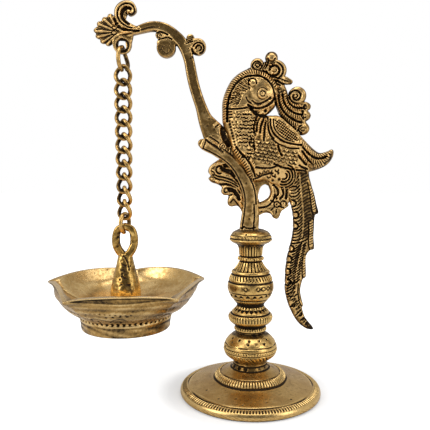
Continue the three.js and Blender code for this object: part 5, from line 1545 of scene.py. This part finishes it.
def chain_link(index, turn):
    """Twisted oval link of a curb chain."""
    node = f"chain_link_{index:02d}"
    low, high = node_box(node)
    height = (high[2] - low[2] - LINK_WIRE) / 2
    middle = np.array([CHAIN_X, 0, (low[2] + high[2]) / 2])
    angle = 2 * math.pi * np.arange(110) / 110
    twist = np.radians(turn - LINK_TWIST * np.cos(angle))
    reach = np.sin(angle) * (LINK_WIDTH - LINK_WIRE) / 2
    up = height * np.cos(angle)
    centre = np.stack([CHAIN_X + reach * np.cos(twist), reach * np.sin(twist), middle[2] + up], 1)
    points, faces, cavity = wire_body(centre, 0.5 * LINK_WIRE + 0.02, True, index, middle, 0.44)
    # Painted shade where the links touch each other
    contact = np.exp(-((np.abs(points[:, 2] - middle[2]) - height + 1.0) / 1.6) ** 2)
    cavity = cavity + 0.14 * contact + 0.05
    add_piece(f"forged_link_{index:02d}", points, faces, cavity, CHAIN, node, [node])


jump_ring("top_ring", 2.8, 17, 76, lean=2.4)
jump_ring("bottom_ring", 2.8, 15.2, 73)
for link in range(LINKS):
    chain_link(link + 1, LINK_TURN * link)


# Stem: two strands of a bent bar that meet in a cone, brazed to the pan

def stem_casting():
    c = Canvas((CHAIN_X - 12, STEM_BOTTOM - 2), (CHAIN_X + 12, STEM_TOP + 2), 0.27)
    base, x = STEM_BOTTOM, CHAIN_X
    # Offset from the axis, height, half width, share of the thickness and shift to the back
    strand = [(0, 53.9, 2.3, 1, 0), (4.3, 52.0, 2.4, 1, 0), (5.9, 47.2, 2.6, 1, 0), (5.6, 41.2, 2.7, 1, 0),
              (3.2, 36.4, 2.7, 1, 0.9), (-0.4, 32.4, 2.7, 1, 1.3), (-3.0, 27, 2.4, 1, 1.0),
              (-4.6, 21, 1.8, 0.9, 0)]
    for side in (1, -1):
        c.add_stroke([(x + side * out, base + up, half, share, -side * back)
                      for out, up, half, share, back in strand], 4.6, edge=1.7)
    cone = [(10.2, 0), (10.15, 5), (10.0, 11), (9.6, 13.5), (8.7, 18), (7.2, 24), (5.9, 29), (5.0, 33.5),
            (3.6, 36)]
    outline = [(x + r, base + z) for r, z in cone] + [(x - r, base + z) for r, z in cone[::-1]]
    path = np.array(outline, float)
    distance = c.polygon(path)
    place = c.window(path, PART_MARGIN)
    radius = np.interp(c.z[:, place[1]] - base, [z for _, z in cone], [r for r, _ in cone])
    half = np.sqrt(np.clip(radius ** 2 - (c.x[place[0]] - x) ** 2, 0.01, None))
    c.parts.append((place, distance[place], half, 0.5, 0.0))
    c.uneven(6, (2.2, 0.16), (0.8, 0.06))
    c.depth = 4.0
    c.chase((0.8, -0.3, (x - 3.4, base + 34.6), (x - 0.8, base + 33.6), (x + 1.4, base + 30),
             (x + 2.6, base + 25)))
    draw = np.random.RandomState(21)
    for _ in range(30):
        z = base + draw.uniform(13, 52)
        c.pit(x + draw.normal(0, 3.0), z, draw.uniform(0.4, 0.9), draw.uniform(0.2, 0.6))
    return c


points, faces, cavity = cast_from(stem_casting())
rise = points[:, 2] - STEM_BOTTOM
across = points[:, 0] - CHAIN_X
ragged = 0.8 * np.sin(0.9 * rise + 2 * np.sin(0.35 * rise)) + 0.6 * np.sin(2.3 * rise)
stripe = np.exp(-((across - 0.8 - ragged) / 2.0) ** 2) * between(rise, 14, 31, 2.5)
inside = np.exp(-((across + 3.8) / 1.6) ** 2) * between(rise, 38, 52, 3.0) * (points[:, 1] < 1.5)
melted = 12 + 1.2 * np.sin(0.8 * across + 1) + 0.6 * np.sin(2.1 * across)
brazed = 0.3 * (1 - smoothstep(rise, melted - 1.5, melted + 1.5))
cavity = cavity + 0.24 * stripe + 0.36 * inside - brazed
add_piece("brazed_stem", points, faces, cavity, STEM, "lamp_pan", ["pan_stem"])


# Pan, five-sided, cast thin and brushed inside

PAN_REACH, PAN_TOP, PAN_FLOOR = 57.0, 28.0, 13.0
CORNER_LIP = 8.5
PETALS = 22
# Bands of the pan's surface, in the order of its profile. The flat middle comes last.
UNDER, RING, OUTSIDE, LIP, INSIDE = range(5)
# Angle of each corner, then bulge, rise and width of the lip at the middle of the side that follows it
PAN_SIDES = ((91.5, 5.0, 3.8, 3.4), (167.8, -0.6, 2.4, 3.2), (239.8, 3.8, 2.7, 3.6), (311.8, 1.4, 2.2, 3.2),
             (383.8, 5.2, 3.7, 3.4))


def pan_outline(steps):
    """Columns of the rim from above: x, y, rise, width of the lip, place along its side and side number."""
    share = 2 * np.arange(steps) / steps - 1
    swell = 1 - share ** 2
    rows = []
    for side, (angle, bulge, rise, lip) in enumerate(PAN_SIDES):
        following = PAN_SIDES[(side + 1) % 5][0] + 360 * (side == 4)
        a, b = (np.array([math.cos(math.radians(t)), math.sin(math.radians(t))]) for t in (angle, following))
        outward = (a + b) / np.linalg.norm(a + b)
        t = (share[:, None] + 1) / 2
        points = a + (b - a) * t + outward * (bulge / PAN_REACH * swell ** 1.6)[:, None]
        corner = np.abs(share)
        inset = lip + (CORNER_LIP - lip) * corner ** 5 - 1.2 * np.exp(-((1 - corner) / 0.05) ** 2)
        rows.append(np.column_stack([points, rise * swell ** 0.8, inset, corner, np.full(steps, side)]))
    return np.vstack(rows).T


def pan_body():
    x, y, swell, inset, corner, side = pan_outline(76)

    def inner_height(share):
        return PAN_FLOOR + (PAN_TOP - PAN_FLOOR) * share

    # Corner radius, how five-sided, height, share of the sides' rise
    under = np.array([(0.4, 0, 10, 0), (25, 0, 10, 0), (26.2, 0, 9.5, 0), (26.3, 0, 1, 0), (26.6, 0, 0.2, 0),
                      (27.4, 0, 0, 0)], float)
    foot = smooth_path([(28.9, 0, 0, 0), (29.3, 0, 0.7, 0), (29.5, 0, 2.5, 0), (29.9, 0, 5, 0),
                        (30.3, 0, 8, 0)], steps=8)
    outside = smooth_path([(30.3, 0, 8, 0), (31.2, 0.05, 9.2, 0), (35.2, 0.15, 11.6, 0),
                           (40.0, 0.2, 14.4, 0), (43.6, 0.25, 17.2, 0.1), (46.6, 0.3, 20, 0.35),
                           (49.8, 0.42, 22.6, 0.65), (52.8, 0.7, 24.6, 0.85), (55.4, 0.93, 25.8, 0.97),
                           (56.8, 1, 26.8, 1)], steps=12)
    lip = np.array([(57, 1, 27.6, 1), (56.8, 1, 27.95, 1), (56.0, 1, 28.0, 1), (55.0, 1, 27.95, 1)], float)
    inside = smooth_path([(48.5, 1, 28, 1), (47.4, 0.95, inner_height(0.84), 0.85),
                          (44.8, 0.6, inner_height(0.62), 0.3), (40.6, 0.3, inner_height(0.43), 0.1),
                          (34.2, 0.1, inner_height(0.24), 0), (24.5, 0.05, inner_height(0.08), 0),
                          (14, 0, PAN_FLOOR, 0)], steps=12)
    middle = np.array([(9, 0, PAN_FLOOR, 0), (4, 0, PAN_FLOOR, 0), (0.4, 0, PAN_FLOOR, 0)], float)
    parts = (under, foot, outside[1:], lip, inside, middle)
    stations = np.vstack(parts)
    kinds = np.concatenate([np.full(len(part), kind) for kind, part in enumerate(parts)])[:, None]
    radius, sided, height, rise = (stations[:, i][:, None] for i in range(4))
    plan = np.hypot(x, y)
    inner_plan = (PAN_REACH * plan - inset) / (PAN_REACH - CORNER_LIP)
    reach = radius * (sided * np.where(kinds == INSIDE, inner_plan, plan) + 1 - sided)
    px, py = reach * x / plan, reach * y / plan
    pz = height + rise * swell + 0 * px
    points = np.stack([px, py, pz], 2)
    # Outward direction of the surface
    down = np.gradient(points, axis=0)
    around = np.roll(points, -1, 1) - np.roll(points, 1, 1)
    normal = np.cross(around, down)
    normal /= np.maximum(np.linalg.norm(normal, axis=2, keepdims=True), 1e-9)
    below_rim = PAN_TOP + swell - pz
    out, stain_and_painted_light = pan_relief(np.arctan2(py, px), reach, pz, kinds + 0 * px, below_rim, corner + 0 * px,
                            side + 0 * px)
    points = points + out[..., None] * normal
    fine = out - blurred(out, 3, wrap=True)
    # The lip is lightened by 0.1: a rubbed rim, with a painted highlight along it.
    cavity = -1.8 * fine - 0.4 * out + stain_and_painted_light + 0.5 * (kinds == UNDER) - 0.1 * (kinds == LIP)
    count = points.shape[1]
    points = points.reshape(-1, 3) + np.array([CHAIN_X, 0, PAN_BOTTOM])
    faces = grid_faces(len(stations), count).tolist()
    faces.append(list(range(count)))
    faces.append(list(range((len(stations) - 1) * count, len(stations) * count))[::-1])
    return points, faces, cavity.ravel()


def pan_relief(angle, r, z, kind, below_rim, corner, side):
    """Relief of the pan, and its stain together with painted shade and painted highlights. The corner value
    runs from 0 at a side's middle to 1 at a corner.
    """
    outer, ring, inner = kind == OUTSIDE, kind == RING, kind == INSIDE
    relief = np.zeros_like(r)
    # Each side is hammered flat under the rim, with a shadow line right below the lip
    flat_reach = 3.6 * (1 - corner ** 2) * between(side, 1, 3)
    flat = smoothstep(flat_reach, 0.4, 1.6)
    relief -= outer * flat * 0.4 * between(below_rim, 0.9, flat_reach + 0.9, 0.5)
    relief -= outer * flat * 0.35 * np.exp(-((below_rim - 1.4) / 0.5) ** 2)
    # Uneven petals chased round the outer wall, above a row of notches
    turn = turns_of(angle, PETALS, 0.25 * wobble(angle, 51))
    phase = turn % 1.0 - 0.5
    strength = np.clip(0.7 + 0.6 * np.sin(5.3 * np.floor(turn)), 0.05, 1.2)
    tip = 11.2 + 3.6 * half_round(2 * phase) + 0.6 * np.sin(3.1 * np.floor(turn))
    relief -= outer * strength * 0.4 * np.exp(-((z - tip) / 0.5) ** 2) * smoothstep(z, 9.8, 11)
    petal_side = np.exp(-(phase * 2 * math.pi * r / PETALS / 0.4) ** 2)
    relief -= outer * strength * 0.6 * petal_side * between(z, 9.8, 12.6, 0.8)
    ripple = np.sin(7 * angle + 0.5 * z) * np.sin(0.9 * z + 3 * np.sin(2 * angle))
    relief += outer * 0.22 * ripple * between(z, 10, 24)
    pits = marks(angle, r, z, 18.2 + 0.9 * wobble(angle, 53), 88, 0.6, 0.6, 1.2, 0.3)
    pits = pits + marks(angle, r, z, 17.0 + 0.8 * wobble(angle, 54), 61, 0.7, 0.5, 1.2)
    relief += outer * pits * np.clip(0.3 + 0.9 * wobble(angle, 55), 0, 1)
    relief += (outer | ring) * marks(angle, r, z, 9.1, 54, 1.15, 1.3, 0.85)
    relief += ring * 0.2 * between(z, 6.6, 8.2, 0.4)
    relief += ring * 0.1 * np.sin(9 * angle + 1.2 * z) * between(z, 0.5, 5.5)
    # Inside: dents of the hammer, and creases that run down from the corners
    relief += inner * 0.2 * np.sin(3 * angle + 0.16 * r) * np.sin(0.19 * r + 2 * np.sin(2 * angle + 1))
    relief += inner * 0.08 * np.sin(11 * angle + 0.3 * r) * np.sin(0.33 * r + 1) * between(r, 26, 44, 4)
    crease = np.exp(-((corner - 0.99) / 0.06) ** 2) * between(r, 32, 50, 4)
    relief -= inner * 0.4 * crease
    cloud = np.sin(5 * angle + 0.8 * z + 2 * np.sin(3 * angle)) * np.sin(1.3 * z + 2 * np.sin(4 * angle + 1))
    stain_and_painted_light = 0.05 * outer + 0.12 * ring + 0.16 * ring * np.clip(cloud + 0.2, -0.3, 1) + 0.06 * outer * cloud
    # Painted shade: a dark line right below the lip and a darker band under the rim. The outer wall is also
    # darker in a band at z 9.6.
    stain_and_painted_light = stain_and_painted_light + outer * 0.22 * flat * np.exp(-((below_rim - 1.2) / 0.7) ** 2)
    stain_and_painted_light = stain_and_painted_light + outer * (0.08 * between(below_rim, 1, 4, 0.8) + 0.14 * np.exp(-((z - 9.6) / 1.0) ** 2))
    stain_and_painted_light = stain_and_painted_light + ring * 0.12 * np.exp(-((z - 6.0) / 0.8) ** 2) * np.clip(0.4 + wobble(angle, 57), 0, 1)
    # Inside: lighter all over as brushed polish, with painted highlights in streaks and along the corner
    # creases.
    painted_reflection_streak = np.sin(4 * angle + 1.0) + 0.6 * np.sin(9 * angle + 0.06 * r)
    painted_reflection_streak = painted_reflection_streak + 0.4 * np.sin(23 * angle + 0.1 * r)
    stain_and_painted_light = stain_and_painted_light - inner * (0.15 + 0.05 * painted_reflection_streak + 0.2 * crease - 0.06 * between(r, 20, 38, 6))
    return relief, stain_and_painted_light


points, faces, cavity = pan_body()
add_piece("brushed_pan", points, faces, cavity, POLISHED, "lamp_pan", ["lamp_pan"])


tie_rod_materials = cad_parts["tie_rod"].data.materials
tie_rod_materials.clear()
tie_rod_materials.append(PLAIN)


# Camera

CAMERA_TILT = 85.29
camera_data = bpy.data.cameras.new("camera")
camera_data.lens = 46.05
camera_data.sensor_width = 36
camera_data.clip_start = 0.01
camera = bpy.data.objects.new("camera", camera_data)
camera.location = (VIEW_CENTRE[0] * MM, -VIEW_DISTANCE * MM, VIEW_CENTRE[1] * MM)
camera.rotation_euler = (math.radians(CAMERA_TILT), 0, 0)
bpy.context.scene.collection.objects.link(camera)
bpy.context.scene.camera = camera


# Floor, world and lights

# Glow of the white floor near the lamp and right at its foot, where the contact shadow shows
FLOOR_LIFT, FOOT_LIFT = 0.6, 0.32
SHADOW_REACH = (0.052, 0.067)
WHITE_REACH = (0.1, 0.6)
FLOOR_TONE, MIRRORED_FLOOR_TONE = 0.62, 0.6
WHITE = (1, 1, 1, 1)


def make_floor():
    mesh = bpy.data.meshes.new("floor")
    reach = 3.0
    mesh.from_pydata([(-reach, -reach, 0), (reach, -reach, 0), (reach, reach, 0), (-reach, reach, 0)],
                     [], [(0, 1, 2, 3)])
    floor = bpy.data.objects.new("floor", mesh)
    bpy.context.scene.collection.objects.link(floor)
    material = bpy.data.materials.new("floor_white")
    material.use_nodes = True
    g = Graph(material.node_tree)
    rays = g.node("ShaderNodeLightPath").outputs
    place = g.node("ShaderNodeTexCoord").outputs["Object"]
    away = g.node("ShaderNodeVectorMath", {"operation": "LENGTH"}, i0=place).outputs["Value"]
    direct = g.math("MAXIMUM", rays["Is Camera Ray"], rays["Is Transmission Ray"])
    near = g.spread(away, *SHADOW_REACH, FOOT_LIFT, FLOOR_LIFT)
    lift = g.math("MULTIPLY", direct, g.math("ADD", near,
                                             g.spread(away, *WHITE_REACH, 0.0, 1.0 - FLOOR_LIFT)))
    tone = g.mix(rays["Is Glossy Ray"], (*[FLOOR_TONE] * 3, 1), (*[MIRRORED_FLOOR_TONE] * 3, 1))
    diffuse = g.node("ShaderNodeBsdfDiffuse", None, Color=tone)
    glow = g.node("ShaderNodeEmission", None, Color=WHITE, Strength=lift)
    both = g.node("ShaderNodeAddShader", None, i0=diffuse.outputs[0], i1=glow.outputs[0])
    g.node("ShaderNodeOutputMaterial", None, Surface=both.outputs[0])
    mesh.materials.append(material)


def make_world():
    world = bpy.data.worlds.new("studio")
    world.use_nodes = True
    bpy.context.scene.world = world
    g = Graph(world.node_tree)
    rays = g.node("ShaderNodeLightPath").outputs
    direction = g.node("ShaderNodeTexCoord").outputs["Generated"]
    parts = g.node("ShaderNodeSeparateXYZ", None, Vector=direction).outputs
    behind = g.spread(parts["Y"], -0.85, 0.15, 0.1, 0.55)
    straight = g.math("MAXIMUM", rays["Is Camera Ray"], rays["Is Transmission Ray"])
    mirrored = g.math("MULTIPLY", rays["Is Glossy Ray"], behind)
    other = g.math("SUBTRACT", 1.0, g.math("MAXIMUM", straight, rays["Is Glossy Ray"]))
    level = g.math("ADD", g.math("MAXIMUM", straight, mirrored), g.math("MULTIPLY", other, 0.75))
    light = g.node("ShaderNodeBackground", None, Color=WHITE, Strength=level)
    g.node("ShaderNodeOutputWorld", None, Surface=light.outputs[0])


def add_light(name, place, aim, size, power):
    data = bpy.data.lights.new(name, "AREA")
    data.shape = "RECTANGLE"
    data.size, data.size_y = size
    data.energy = power
    light = bpy.data.objects.new(name, data)
    light.location = place
    away = np.array(place) - np.array(aim)
    away = away / np.linalg.norm(away)
    light.rotation_euler = (math.acos(away[2]), 0, math.atan2(away[1], away[0]) + math.pi / 2)
    bpy.context.scene.collection.objects.link(light)


make_floor()
make_world()
lamp_middle = (-0.02, 0.0, 0.12)
add_light("left_softbox", (-0.75, -0.45, 0.55), lamp_middle, (0.5, 0.7), 3.6)
add_light("right_softbox", (0.75, -0.5, 0.45), lamp_middle, (0.4, 0.7), 2.2)
add_light("top_softbox", (0.0, -0.1, 0.95), lamp_middle, (0.7, 0.6), 3.0)

view = bpy.context.scene.view_settings
view.view_transform = "Standard"
